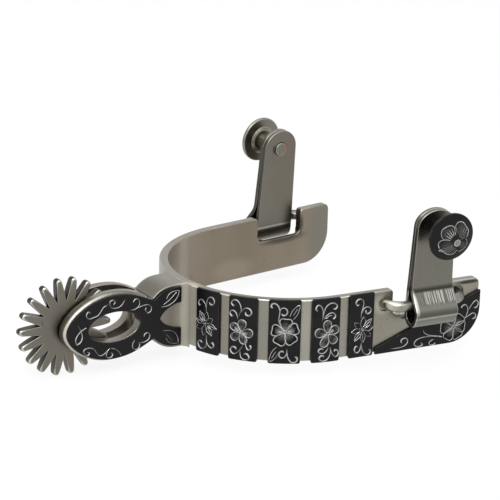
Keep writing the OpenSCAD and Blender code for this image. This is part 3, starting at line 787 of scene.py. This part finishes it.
class Carving:
    """Collects cut lines and shaded patches on one surface as one mesh.

    slant is 1 where the cuts that run up to the right get a painted highlight, -1 where those that run down
    do."""

    def __init__(self, at, highlight_slant=0.0):
        self.at = at
        self.highlight_slant = highlight_slant
        self.verts = []
        self.faces = []
        self.kinds = []
        self.tones = []

    def point(self, place, height, tone):
        self.verts.append(self.at(place.x, place.y, height))
        self.tones.append(tone)

    def face(self, corners, kind):
        self.faces.append(tuple(corners))
        self.kinds.append(kind)

    def line(self, points, start_width, end_width=None, closed=False, swell=0.0, kind=BRIGHT):
        """A cut with raised burrs, through the points."""
        end_width = start_width if end_width is None else end_width
        path = points if closed else smooth(points)
        count = len(path)
        base = len(self.verts)
        for i, p in enumerate(path):
            t = i / (count - 1)
            before = path[(i - 1) % count] if closed else path[max(i - 1, 0)]
            after = path[(i + 1) % count] if closed else path[min(i + 1, count - 1)]
            d = (Vector(after) - Vector(before)).normalized()
            side = Vector((-d.y, d.x))
            width = start_width + (end_width - start_width) * t + swell * math.sin(math.pi * t)
            if not closed:
                width *= min(1.0, 0.25 + 6 * t, 0.35 + 9 * (1 - t))
            crest = 0.05 + 0.08 * width
            section = ((-1.0, BURIED), (-0.82, crest), (0.0, 0.012), (0.82, crest), (1.0, BURIED))
            # Painted light: a cut is brighter or darker by its direction, as a lit groove would be.
            tone = 0.15 + 0.85 * (1.0 + self.highlight_slant * 2.0 * d.x * d.y) / 2
            for k, height in section:
                self.point(Vector(p) + side * (k * width / 2), height, tone)
        rows = len(section)
        for i in range(count if closed else count - 1):
            a = base + i * rows
            b = base + ((i + 1) % count) * rows
            for k in range(rows):
                j = (k + 1) % rows
                self.face((a + k, a + j, b + j, b + k), kind)
        if not closed:
            self.face([base + k for k in range(rows)][::-1], kind)
            self.face([base + (count - 1) * rows + k for k in range(rows)], kind)

    def patch(self, outline, rim=0.03, dip=0.012, kind=SHADED, heart=None):
        """A shaded, dished area inside a closed outline; its tone grows away from its heart."""
        count = len(outline)
        middle = sum((Vector(p) for p in outline), Vector((0, 0))) / count
        heart = middle if heart is None else Vector(heart)
        reach = max((Vector(p) - heart).length for p in outline)
        base = len(self.verts)
        rings = ((1.0, BURIED), (1.0, rim), (0.66, (rim + dip) / 2), (0.33, dip))
        spots = [(middle + (Vector(p) - middle) * k, height) for k, height in rings for p in outline]
        for place, height in (*spots, (middle, dip), (middle, BURIED)):
            self.point(place, height, (place - heart).length / reach)
        top = base + len(rings) * count
        low = top + 1
        for r in range(len(rings) - 1):
            a = base + r * count
            b = a + count
            for i in range(count):
                j = (i + 1) % count
                self.face((a + i, a + j, b + j, b + i), kind)
        inner = base + (len(rings) - 1) * count
        for i in range(count):
            j = (i + 1) % count
            self.face((inner + i, inner + j, top), kind)
            self.face((base + j, base + i, low), kind)

    def build(self, name, body):
        """Makes the piece that rides on a body."""
        mesh = bpy.data.meshes.new(name)
        mesh.from_pydata([tuple(v) for v in self.verts], [], self.faces)
        mesh.polygons.foreach_set("material_index", self.kinds)
        mesh.attributes.new("tone", "FLOAT", "POINT").data.foreach_set("value", self.tones)
        bm = bmesh.new()
        bm.from_mesh(mesh)
        write_mesh(bm, mesh, 35.0)
        piece(name, mesh, body, "steel", *CUT_METALS)


def turned(centre, angle, along, across):
    """A point from a centre, along and across an axis at an angle in degrees."""
    a = math.radians(angle)
    return Vector((
        centre[0] + along * math.cos(a) - across * math.sin(a),
        centre[1] + along * math.sin(a) + across * math.cos(a),
    ))


def petal_outline(centre, angle, near, far, half, notch, blunt):
    """A closed petal from near to far along its axis.

    notch dents its outer end, and blunt widens it."""
    middle = (near + far) / 2
    run = (far - near) / 2
    points = 36
    out = []
    for i in range(points):
        t = 2 * math.pi * i / points
        c, s = math.cos(t), math.sin(t)
        dent = notch * math.exp(-(min(t, 2 * math.pi - t) / 0.42) ** 2)
        width = half * s * (1 + blunt * c) / (1 + 0.25 * blunt)
        out.append(turned(centre, angle, middle + run * c - dent, width))
    return out


def round_petal(work, centre, angle, near, far, half, rim=0.34, notch=0.0, blunt=0.3,
                hatch=5, fill=CLOUDED, reach=0.6, fine=0.17):
    """A filled petal with a cut rim and fine lines that fan out from its foot."""
    outline = petal_outline(centre, angle, near, far, half, notch, blunt)
    middle = sum(outline, Vector((0, 0))) / len(outline)
    work.patch([q.lerp(middle, 0.06) for q in outline], kind=fill, heart=centre)
    work.line(outline, rim, closed=True)
    half_count = (hatch - 1) / 2
    for i in range(hatch):
        k = (i - half_count) / half_count
        spread = 0.62 * half * k
        end = near + (far - near) * (reach - 0.12 * abs(k))
        foot = turned(centre, angle, near + 0.08 * (far - near), 0.18 * spread)
        waist = turned(centre, angle, (near + end) / 2, 0.6 * spread)
        tip = turned(centre, angle, end, spread)
        work.line((foot, waist, tip), fine * 1.2, fine * 0.6, kind=FINE)


def pointed_petal(work, centre, angle, near, far, half, ribs, rim=0.2):
    """A leaf-shaped petal: two arcs that meet in a point, and sometimes a rib."""
    for side in (-1, 1):
        arc = [(t, side * half * math.sin(math.pi * t ** 0.8)) for t in (0.0, 0.2, 0.42, 0.64, 0.84, 1.0)]
        work.line([turned(centre, angle, near + (far - near) * t, w) for t, w in arc], rim * 0.7, rim)
    if ribs:
        rib = [turned(centre, angle, near + (far - near) * t, 0.0) for t in (0.16, 0.5, 0.84)]
        work.line(rib, RIB * 0.8, RIB * 0.6, swell=0.08)


def leaf(work, left, right, rib, rim=0.28):
    """A leaf of two edges and a rib."""
    work.line(left, rim * 0.8, rim)
    work.line(right, rim, rim * 0.8)
    work.line(rib, 0.22, 0.2, swell=0.06)


def flower_eye(work, centre, radius, width=0.3):
    """A ring with a dot in it, at a flower's middle."""
    work.line([turned(centre, a, radius, 0) for a in range(0, 360, 24)], width, closed=True)
    work.line([turned(centre, a, radius * 0.22, 0) for a in range(0, 360, 45)], width * 0.7, closed=True)


def round_flower(work, centre, near, petals, eye=0.5, **style):
    """Round petals round an eye; each is an angle, how far it reaches and its half width."""
    for angle, far, half in petals:
        round_petal(work, centre, angle, near, far, half, **style)
    flower_eye(work, centre, eye)


def tendrils(work, *curls, widths=STEM):
    """Curled lines that widen from the stem to the curl."""
    for points in curls:
        work.line(points, *widths)


def carve_plate_1(work):
    """Eight pointed petals between two pairs of tendrils."""
    tendrils(
        work,
        ((-0.17, 3.4), (-0.3, 5.5), (0, 7.5), (0.55, 8.8), (1.5, 9.4), (2.4, 9.2), (3, 8.2),
         (2.85, 7.2), (2.15, 6.75), (1.4, 6.85), (0.95, 7.4)),
        ((-0.4, 5.3), (-0.85, 6.5), (-1.6, 7.4), (-2.4, 7.7), (-3.2, 7.2), (-3.5, 6.2), (-3.1, 5.5),
         (-2.6, 5.75)),
        ((-0.1, -4.6), (0, -6.6), (0.05, -8.05), (-0.4, -9.3), (-1.45, -10.1), (-2.7, -10),
         (-3.5, -9.05), (-3.35, -8), (-2.6, -7.5), (-1.75, -7.9)),
        ((0.05, -6.4), (0.35, -7.8), (1.1, -8.7), (2.05, -9.05), (2.8, -8.6), (2.95, -7.8), (2.4, -7.2),
         (1.8, -7.45)),
    )
    centre = (-0.6, -0.7)
    for angle, far, ribs in ((-14, 4.7, 1), (38, 3.8, 0), (82, 4.4, 0), (122, 4.7, 1),
                             (164, 4.5, 1), (212, 4.5, 0), (260, 4.6, 0), (305, 4.8, 1)):
        pointed_petal(work, centre, angle, 0.7, far, 1, ribs)
    flower_eye(work, centre, 0.3, 0.22)


def carve_plate_2(work):
    """Five round petals with three tendrils above and below."""
    tendrils(
        work,
        ((-1.4, 4.1), (-0.95, 5.65), (-0.15, 6.9), (0.85, 7.7), (2, 7.75), (2.85, 7), (2.95, 5.9),
         (2.1, 5.15), (1.1, 5.45), (0.95, 6.35)),
        ((-0.75, 6), (-0.6, 7.35), (-1, 8.85), (-1.75, 9.9), (-2.8, 10.3), (-3.7, 9.8), (-4, 8.9),
         (-3.45, 8.1), (-2.8, 8.45)),
        ((-1.7, 3.4), (-2, 4.8), (-2.55, 5.85), (-3.4, 6.35), (-4.25, 6), (-4.45, 5.1), (-3.95, 4.3),
         (-3.4, 4.6)),
        ((0.9, -3.2), (1.1, -4.7), (1.4, -6.2), (2, -7.2), (2.8, -7), (3.05, -6.1), (2.6, -5.5)),
        ((0.5, -5.3), (-0.05, -6.5), (-0.9, -7.8), (-1.85, -8.85), (-2.9, -9.35), (-3.8, -8.85),
         (-4.1, -7.85),
         (-3.5, -6.95), (-2.55, -6.9), (-1.95, -7.6)),
        ((-0.7, -7.7), (-0.6, -9.2), (-0.25, -10.4), (0.75, -11), (1.85, -10.95), (2.45, -10.2), (2.2, -9.25),
         (1.3, -8.75), (0.6, -9.2)),
    )
    round_flower(work, (-0.6, -1.1), 0.5, (
        (82, 4.5, 1.45), (145, 4.3, 1.4), (-3, 4.2, 1.6), (-72, 4.4, 1.35), (223, 4.3, 1.4),
    ), fine=0.22)


def carve_plate_3(work):
    """Five notched petals, tendrils, and a leaf in two corners."""
    tendrils(
        work,
        ((-2.1, 2.9), (-2, 4.95), (-1.75, 6.9), (-1.85, 8.35), (-2.4, 9.5), (-3.35, 10.3), (-4.3, 10.1),
         (-4.65, 9.25), (-4.1, 8.6)),
        ((-1.75, 7), (-1.5, 8.2), (-0.7, 8.8), (0.3, 8.5), (0.8, 7.5), (0.5, 6.5), (-0.4, 6.1), (-1.15, 6.6)),
        ((0.85, -6), (0.85, -7.8), (0.3, -8.95), (-0.7, -9.35), (-1.5, -8.75), (-1.65, -7.6), (-0.85, -6.9),
         (-0.05, -7.2)),
        ((1, -6), (1.05, -7.8), (1.5, -9.6), (2.4, -10.8), (3.5, -11), (4.35, -10.4), (4.4, -9.3),
         (3.7, -8.95)),
    )
    leaf(
        work,
        ((5, 9.9), (4.1, 9.55), (2.95, 8.45), (2.1, 7.05), (1.65, 5.7)),
        ((5, 9.9), (4.75, 8.3), (4.2, 6.6), (3.5, 5.5), (2.8, 4.6)),
        ((4.2, 8.7), (3.4, 7.2), (2.7, 6)),
    )
    leaf(
        work,
        ((-5, -11), (-4.8, -9.6), (-4.3, -7.9), (-3.45, -6.4), (-2.4, -5.45)),
        ((-5, -11), (-3.7, -10.3), (-2.6, -9.1), (-2, -7.8)),
        ((-4.2, -9.8), (-3.4, -8.3), (-2.6, -6.9)),
    )
    round_flower(work, (0.1, 0.1), 0.55, (
        (85, 5.1, 2.15), (20, 5, 2.1), (-52, 5.3, 2.1), (-118, 5.4, 2.1), (170, 4.75, 2.1),
    ), rim=0.42, notch=0.45, blunt=0.45, hatch=7, fill=SHADED, reach=0.7)


def carve_plate_4(work):
    """Five round petals with three tendrils above and below."""
    tendrils(
        work,
        ((-1.45, 3.7), (-1.3, 5.65), (-1.4, 7.35), (-1.9, 8.75), (-2.8, 9.5), (-3.6, 9.1), (-3.85, 8.1),
         (-3.3, 7.3)),
        ((-1.1, 5.6), (-0.8, 7.5), (-0.15, 8.85), (1, 9.7), (2.25, 9.8), (3.35, 9.2), (3.6, 8.2), (2.95, 7.6),
         (2.2, 7.85)),
        ((-1, 4.2), (-0.15, 5.4), (1, 6.2), (2.2, 6.3), (3, 5.5), (3, 4.6), (2.25, 4)),
        ((0.9, -6), (0.4, -7.2), (-0.55, -8.1), (-1.7, -8.15), (-2.5, -7.6), (-2.4, -6.75), (-1.5, -6.4),
         (-0.8, -6.9)),
        ((1.5, -6), (1.7, -7.8), (1.35, -9.5), (0.55, -10.6), (-0.55, -11), (-1.7, -10.75), (-2.25, -10),
         (-1.9, -9.2), (-1, -9.05), (-0.5, -9.6)),
        ((1.75, -6.3), (2, -7.8), (2.7, -9.1), (3.6, -9.85), (4.4, -9.5), (4.65, -8.5), (4.2, -7.6),
         (3.4, -7.4), (3.05, -8)),
    )
    work.line(((-0.4, 4.3), (0.8, 5.3), (1.9, 5.4)), 0.2, 0.32)
    round_flower(work, (0.55, -1.25), 0.55, (
        (93, 4.9, 1.45), (28, 4.3, 1.6), (169, 4.5, 1.65), (-48, 4.6, 1.5), (-110, 4.9, 1.5),
    ))


def carve_plate_5(work):
    """Eight pointed petals between two pairs of tendrils."""
    tendrils(
        work,
        ((-0.4, 2.6), (-0.35, 4.65), (0.2, 6.6), (0.4, 8.3), (-0.05, 9.4), (-1.1, 9.9), (-2.15, 9.5),
         (-2.6, 8.55), (-2.1, 7.7), (-1.4, 7.8)),
        ((0, 4.5), (0.45, 5.9), (1.35, 6.6), (2.55, 6.45), (3.3, 5.55), (3.05, 4.55), (2.15, 4.15),
         (1.35, 4.7), (1.5, 5.5)),
        ((-0.05, -6.2), (-0.2, -7.8), (-0.55, -9), (-1.3, -9.7), (-2.2, -9.4), (-2.6, -8.35), (-2.1, -7.4),
         (-1.35, -7.5)),
        ((0.1, -6.3), (0.3, -8.3), (0.9, -9.9), (1.8, -10.75), (2.85, -11), (3.6, -10.45), (3.7, -9.6),
         (3.1, -9.1)),
    )
    centre = (0.3, -1.5)
    for angle, far, ribs in ((86, 4.8, 0), (46, 5, 1), (6, 4.2, 0), (-40, 4.4, 0),
                             (-86, 4.8, 1), (231, 4.9, 1), (186, 4.3, 0), (138, 4.4, 0)):
        pointed_petal(work, centre, angle, 0.8, far, 0.95, ribs, rim=0.22)
    flower_eye(work, centre, 0.45, 0.26)


def carve_corner(work):
    """A six-petalled flower with tendrils along the arm and towards its end."""
    tendrils(
        work,
        ((19.3, -10.2), (22, -10.35), (24.5, -10.2), (26.2, -9.4), (26.7, -8.2), (25.95, -7.2),
         (24.75, -7.15), (24, -8), (24.6, -8.85)),
        ((37.2, -8.2), (34.9, -7.85), (32.4, -7.85), (30.3, -8.4), (29.35, -9.65), (30.05, -10.75),
         (31.5, -11), (32.6, -10.5), (32.1, -9.7)),
        ((37.5, -9.25), (36.25, -9.4), (35.35, -10.3), (35.95, -11.1), (37.1, -11.2), (37.85, -10.6)),
        ((32.8, -5), (33.25, -6.2), (34.7, -7.2), (37, -7.9), (39, -8.3), (40.6, -8.8)),
        ((49.3, -3), (50.95, -2.25), (52.6, -1.5), (53.7, -2.2), (53.6, -3.4), (52.4, -3.7)),
        ((49.6, -2.9), (50.4, -0.8), (50.3, 1), (49.3, 2), (48.2, 1.75), (47.75, 1)),
        ((50.7, -0.3), (51.8, 1.5), (53, 2.8), (54, 3), (54.6, 1.85), (54, 0.6), (53, 0.3)),
        widths=(0.24, 0.58),
    )
    round_flower(work, (45, -5.6), 0.6, (
        (178, 5.6, 2.1), (238, 5.4, 2.1), (-62, 5.2, 2.1), (-6, 4.9, 2.1), (50, 5.2, 2.2),
        (112, 5.4, 2.2),
    ), rim=0.32, notch=0.4, blunt=0.45, hatch=6, fill=SHADED, reach=0.75, fine=0.13, eye=0.55)


def carve_shank(work):
    """Tendrils round the oval window and a leaf on each tail."""
    tendrils(
        work,
        ((-45.4, 3.4), (-44.5, 1.95), (-43.7, 0.1), (-43.5, -1.6), (-44.2, -3.1), (-45.6, -3.8)),
        ((-41.8, 1.85), (-43.5, 1.1), (-45, -0.1), (-46, -1.8), (-45.7, -3.7)),
        ((-33.9, 8.6), (-35.4, 8), (-36.5, 6.5), (-37.6, 5.4), (-39.3, 4.95), (-40.8, 4.8), (-41.8, 5.6),
         (-41.8, 6.7), (-41.1, 7.3), (-40.2, 6.7)),
        ((-27.1, 9.4), (-27.9, 8.2), (-28.9, 7.3), (-30.5, 6.9), (-32.2, 7.3), (-33, 8.4), (-32.9, 9.6),
         (-31.8, 10), (-31, 9.2), (-31.5, 8.3)),
        ((-25.2, 5.15), (-23.25, 5.25), (-21.8, 6.1), (-21.5, 7.6), (-22.2, 8.8), (-23.3, 8.8), (-24, 7.9)),
        ((-22.2, 5.5), (-20.1, 6.05), (-18, 6), (-16.9, 4.9), (-17.1, 3.5), (-18.3, 3.1), (-19.2, 4.15),
         (-18.9, 5.1)),
        ((-32.8, -7.2), (-34, -8.1), (-35.4, -9.1), (-36.9, -9.2), (-38, -8), (-39, -6.5), (-40.4, -5.8),
         (-42.2, -5.8), (-43, -6.6), (-42.4, -7.8), (-41.3, -8.3), (-40.75, -7.5), (-41.6, -7.1)),
        ((-33.6, -7.9), (-34.3, -9.5), (-33.6, -10.6), (-32.3, -10.5), (-31.8, -9.6), (-32.6, -8.9)),
        ((-32.75, -7.3), (-30.95, -7.85), (-29.5, -9.1), (-28.5, -10.6)),
        ((-23.2, -6), (-24, -7.2), (-24, -8.8), (-22.85, -9.6), (-21.6, -9.1), (-21.35, -7.85),
         (-21.9, -7.1)),
        ((-21.9, -7.1), (-20.6, -7.4), (-19.1, -7.3), (-17.7, -6.5), (-17.4, -5), (-18.35, -4.2),
         (-19.4, -4.6), (-19.6, -5.5)),
        widths=(0.26, 0.5),
    )
    leaf(
        work,
        ((-10.9, 6.7), (-10.1, 8.2), (-8.4, 9.15), (-5.8, 9.2)),
        ((-12.9, 4.2), (-10.3, 4.35), (-7.8, 5.5), (-6.4, 7.2), (-5.8, 9.2)),
        ((-12, 5), (-10.2, 6), (-8.5, 7.3), (-7, 8.6)),
        rim=0.34,
    )
    leaf(
        work,
        ((-12.6, -4.6), (-9.9, -4.9), (-7.6, -6), (-6.3, -8), (-6, -10.2)),
        ((-10.9, -7.4), (-10.1, -9), (-8.3, -10), (-6, -10.3)),
        ((-11.4, -5.6), (-9.8, -7.3), (-8.2, -9.1)),
        rim=0.34,
    )


def plate_middle(i):
    """Where a trim plate's middle is, from the heel's middle along the outer face."""
    return PLATE_START + sum(PLATE_WIDTHS[:i]) + i * PLATE_GAP + PLATE_WIDTHS[i] / 2


def engrave(name, surface, carve, body="spur", highlight_slant=0.0):
    """Carves a pattern on a surface as one piece."""
    work = Carving(surface, highlight_slant)
    carve(work)
    work.build(name, body)


for i, (carve, highlight_slant) in enumerate((
    (carve_plate_1, -0.7),
    (carve_plate_2, -0.8),
    (carve_plate_3, -0.2),
    (carve_plate_4, 0.6),
    (carve_plate_5, 0.7),
)):
    engrave(f"engraving_plate_{i + 1}", on_band(plate_middle(i)), carve, highlight_slant=highlight_slant)
engrave("engraving_corner", on_corner, carve_corner, highlight_slant=0.5)
engrave("engraving_shank", on_shank, carve_shank, highlight_slant=0.9)


# ---------------- the near button's flower

NEAR_LEAN = math.radians(4.2)  # the hanger's outward lean at rest
BUTTON_UP = 28.1  # from the pin's axis to the button's
HANGER_SHIFT = 0.8  # along the pin, towards the toe
HEAD_RADIUS = 8.45
HEAD_BACK = 8.12  # from the pin's axis out to the back of the head's edge
HEAD_EDGE = 1.2
HEAD_CROWN = 1.3
CROWN_SPHERE = (HEAD_RADIUS ** 2 + HEAD_CROWN ** 2) / (2 * HEAD_CROWN)
EYE_AT = (1.8, -1.95)  # the flower's eye, off the middle of the head


def on_button(across, up, height):
    """The crowned front of the near button."""
    r2 = min(across * across + up * up, (HEAD_RADIUS - 0.1) ** 2)
    drop = CROWN_SPHERE - math.sqrt(CROWN_SPHERE * CROWN_SPHERE - r2)
    forward = HEAD_BACK + HEAD_EDGE + HEAD_CROWN - drop + height
    along = Vector(SWING["axis"])
    out = Vector((along.y, -along.x, 0.0))
    c, s = math.cos(NEAR_LEAN), math.sin(NEAR_LEAN)
    rise = BUTTON_UP + up
    return Vector(SWING["pos_m"]) + (
        along * (HANGER_SHIFT + across) + out * (forward * c + rise * s)
        + Vector((0, 0, rise * c - forward * s))
    ) * MM


def carve_button(work):
    """One flower of four petals and a small leaf."""
    for outline in (
        ((-1.2, -0.8), (-3.3, -0.3), (-4.5, 0.8), (-4.6, 2.2), (-4.2, 3.5), (-3, 4.3), (-1.4, 4.6),
         (0, 3.6), (0.5, 1.8), (0.3, 0.2)),
        ((0.9, 1), (0.6, 3.2), (0.7, 4.6), (1.5, 5.4), (2.7, 5.5), (3.9, 4.9), (5.1, 3.4), (5.8, 2),
         (5.7, 0.5), (5.2, -0.6), (3.4, -0.9)),
        ((-1.6, -0.9), (-3.3, -0.3), (-4.6, -0.5), (-5.2, -1.3), (-5.1, -2.4), (-4.3, -3.6), (-2.7, -5),
         (-1.4, -5.8), (0, -6), (1.2, -5.6), (1.9, -4.4), (0.6, -3), (0, -1.6)),
        ((2.2, -3.6), (2.1, -4.6), (3.3, -5.2), (4.8, -4.6), (5.8, -3.2), (5.6, -1.6), (4.6, -0.8),
         (3.4, -1.6)),
    ):
        work.patch(smooth(outline, 3))
    rim = 0.34
    for points, width in (
        (((-1.65, -0.7), (-3.3, -0.2), (-4.3, 0.7), (-4.7, 2.1), (-4.35, 3.4), (-3.1, 4.3), (-1.4, 4.7),
          (-0.2, 4.2), (0.5, 3.2)), rim),
        (((1.45, 1.8), (0.8, 3.2), (0.6, 4.4), (1.4, 5.35), (2.65, 5.55), (3.9, 4.95), (5.1, 3.4),
          (5.95, 2.1), (5.85, 0.6), (5.4, -0.5)), rim),
        (((-3.2, -0.2), (-4.6, -0.4), (-5.35, -1.25), (-5.25, -2.35), (-4.8, -3.3)), rim),
        (((-3.8, -4), (-2.7, -5), (-1.5, -5.8), (0, -6.05), (1.25, -5.65), (2, -4.5)), rim),
        (((2.1, -4.6), (3.3, -5.3), (4.9, -4.6), (5.9, -3.2), (5.7, -1.6), (4.9, -0.7)), rim * 0.7),
    ):
        work.line(points, width * 0.8, width)
    little_leaf = ((-5, -4.2), (-4.5, -3.65), (-3.9, -3.65), (-3.3, -4.2), (-2.8, -4.9), (-3.6, -4.75),
                   (-4.4, -4.45))
    work.patch(little_leaf, rim=0.06, dip=0.03, kind=BRIGHT)
    centre = (1.4, -1.3)
    for angle, near, far in ((163, 0.9, 3.6), (150, 0.8, 4.2), (138, 0.8, 4.4),
                             (127, 0.8, 4.3), (116, 0.9, 4.4), (105, 1, 4.2)):
        bold = (
            turned(centre, angle, 1.6 + near, 0.1),
            turned(centre, angle, 1.6 + (near + far) / 2, 0),
            turned(centre, angle, 1.4 + far, -0.1),
        )
        work.line(bold, 0.42, 0.12)
    for angle, far in ((196, 5.6), (206, 5.8), (217, 5.6), (228, 5.2), (240, 4.6), (252, 3.8),
                       (62, 5.6), (50, 6), (38, 5.8), (26, 5.2), (75, 5.2)):
        ray = [turned((1.8, -1.9), angle, 1.9 + (far - 1.9) * t, 0.25 * math.sin(3 * t))
               for t in (0, 0.5, 1)]
        work.line(ray, 0.26, 0.1, kind=FINE)
    flower_eye(work, EYE_AT, 1.2)
    work.patch([turned(EYE_AT, a, 1.1, 0) for a in range(0, 360, 15)], kind=FINE)


engrave("engraving_button", on_button, carve_button, body="near_button_hanger")


# ---------------- camera and studio

CAMERA_AT = Vector((-379.65, -645.96, 276.21)) * MM
AZIMUTH = math.radians(32.191)
ELEVATION = math.radians(18.797)
ROLL = math.radians(1.412)
LENS = 164.55
SENSOR = 36.0
FLOOR_DROP = 0.0003  # metres from the object's lowest point down to the floor
FLOOR_RADIUS = 6.0  # metres


def make_camera():
    """The picture's viewpoint."""
    look = Vector((
        math.sin(AZIMUTH) * math.cos(ELEVATION),
        math.cos(AZIMUTH) * math.cos(ELEVATION),
        -math.sin(ELEVATION),
    ))
    level = Vector((math.cos(AZIMUTH), -math.sin(AZIMUTH), 0.0))
    above = level.cross(look)
    right = level * math.cos(ROLL) + above * math.sin(ROLL)
    up = above * math.cos(ROLL) - level * math.sin(ROLL)
    camera = bpy.data.cameras.new("camera")
    camera.lens = LENS
    camera.sensor_width = SENSOR
    camera.clip_start = 0.01
    camera.clip_end = 50.0
    o = new_object("camera", camera)
    o.matrix_world = Matrix.Translation(CAMERA_AT) @ Matrix((right, up, -look)).transposed().to_4x4()
    bpy.context.scene.camera = o


def lamp(name, at, size, power):
    """A square soft box that faces the origin; its place and size are in metres."""
    light = bpy.data.lights.new(name, "AREA")
    light.shape = "SQUARE"
    light.size = size
    light.energy = power
    o = new_object(name, light)
    o.location = at
    o.rotation_euler = (-Vector(at)).to_track_quat("-Z", "Y").to_euler()


def seen_white(n):
    """1 for rays that should meet the plain white background."""
    path = n.add("ShaderNodeLightPath")
    seen = n.math("MAXIMUM", path.outputs["Is Camera Ray"], path.outputs["Is Glossy Ray"])
    return n.math("MAXIMUM", seen, path.outputs["Is Transmission Ray"])


def white_glow(n, kind, strength):
    """A white Background or Emission node."""
    return n.add(kind, {"Color": rgb(1, 1, 1), "Strength": strength})


def make_world():
    """Soft light all round, seen as plain white."""
    n = Nodes(bpy.data.worlds.new("studio"), "ShaderNodeOutputWorld")
    soft = white_glow(n, "ShaderNodeBackground", 0.75)
    white = white_glow(n, "ShaderNodeBackground", 1.0)
    mix = {0: seen_white(n), 1: soft.outputs[0], 2: white.outputs[0]}
    bpy.context.scene.world = n.end(n.add("ShaderNodeMixShader", mix))


def make_floor():
    """A pale floor that keeps the object's shadow."""
    bm = bmesh.new()
    bmesh.ops.create_circle(bm, cap_ends=True, radius=FLOOR_RADIUS, segments=64)
    mesh = bpy.data.meshes.new("floor")
    bm.to_mesh(mesh)
    bm.free()
    floor = new_object("floor", mesh)
    floor.location = (0, 0, CAD_BOX[0].z - FLOOR_DROP)
    n = material_nodes("floor_white")
    paper = n.add("ShaderNodeBsdfDiffuse", {"Color": rgb(0.82, 0.82, 0.82)})
    glow = white_glow(n, "ShaderNodeEmission", 1.0)
    mix = {0: n.math("MULTIPLY", seen_white(n), 0.88), 1: paper.outputs[0], 2: glow.outputs[0]}
    mesh.materials.append(n.end(n.add("ShaderNodeMixShader", mix)))


make_camera()
make_world()
make_floor()
lamp("top", (-0.1, -0.25, 1.0), size=1.5, power=10.0)
lamp("key", (-0.42, -0.63, 0.85), size=0.5, power=5.0)
bpy.context.scene.view_settings.view_transform = "Standard"
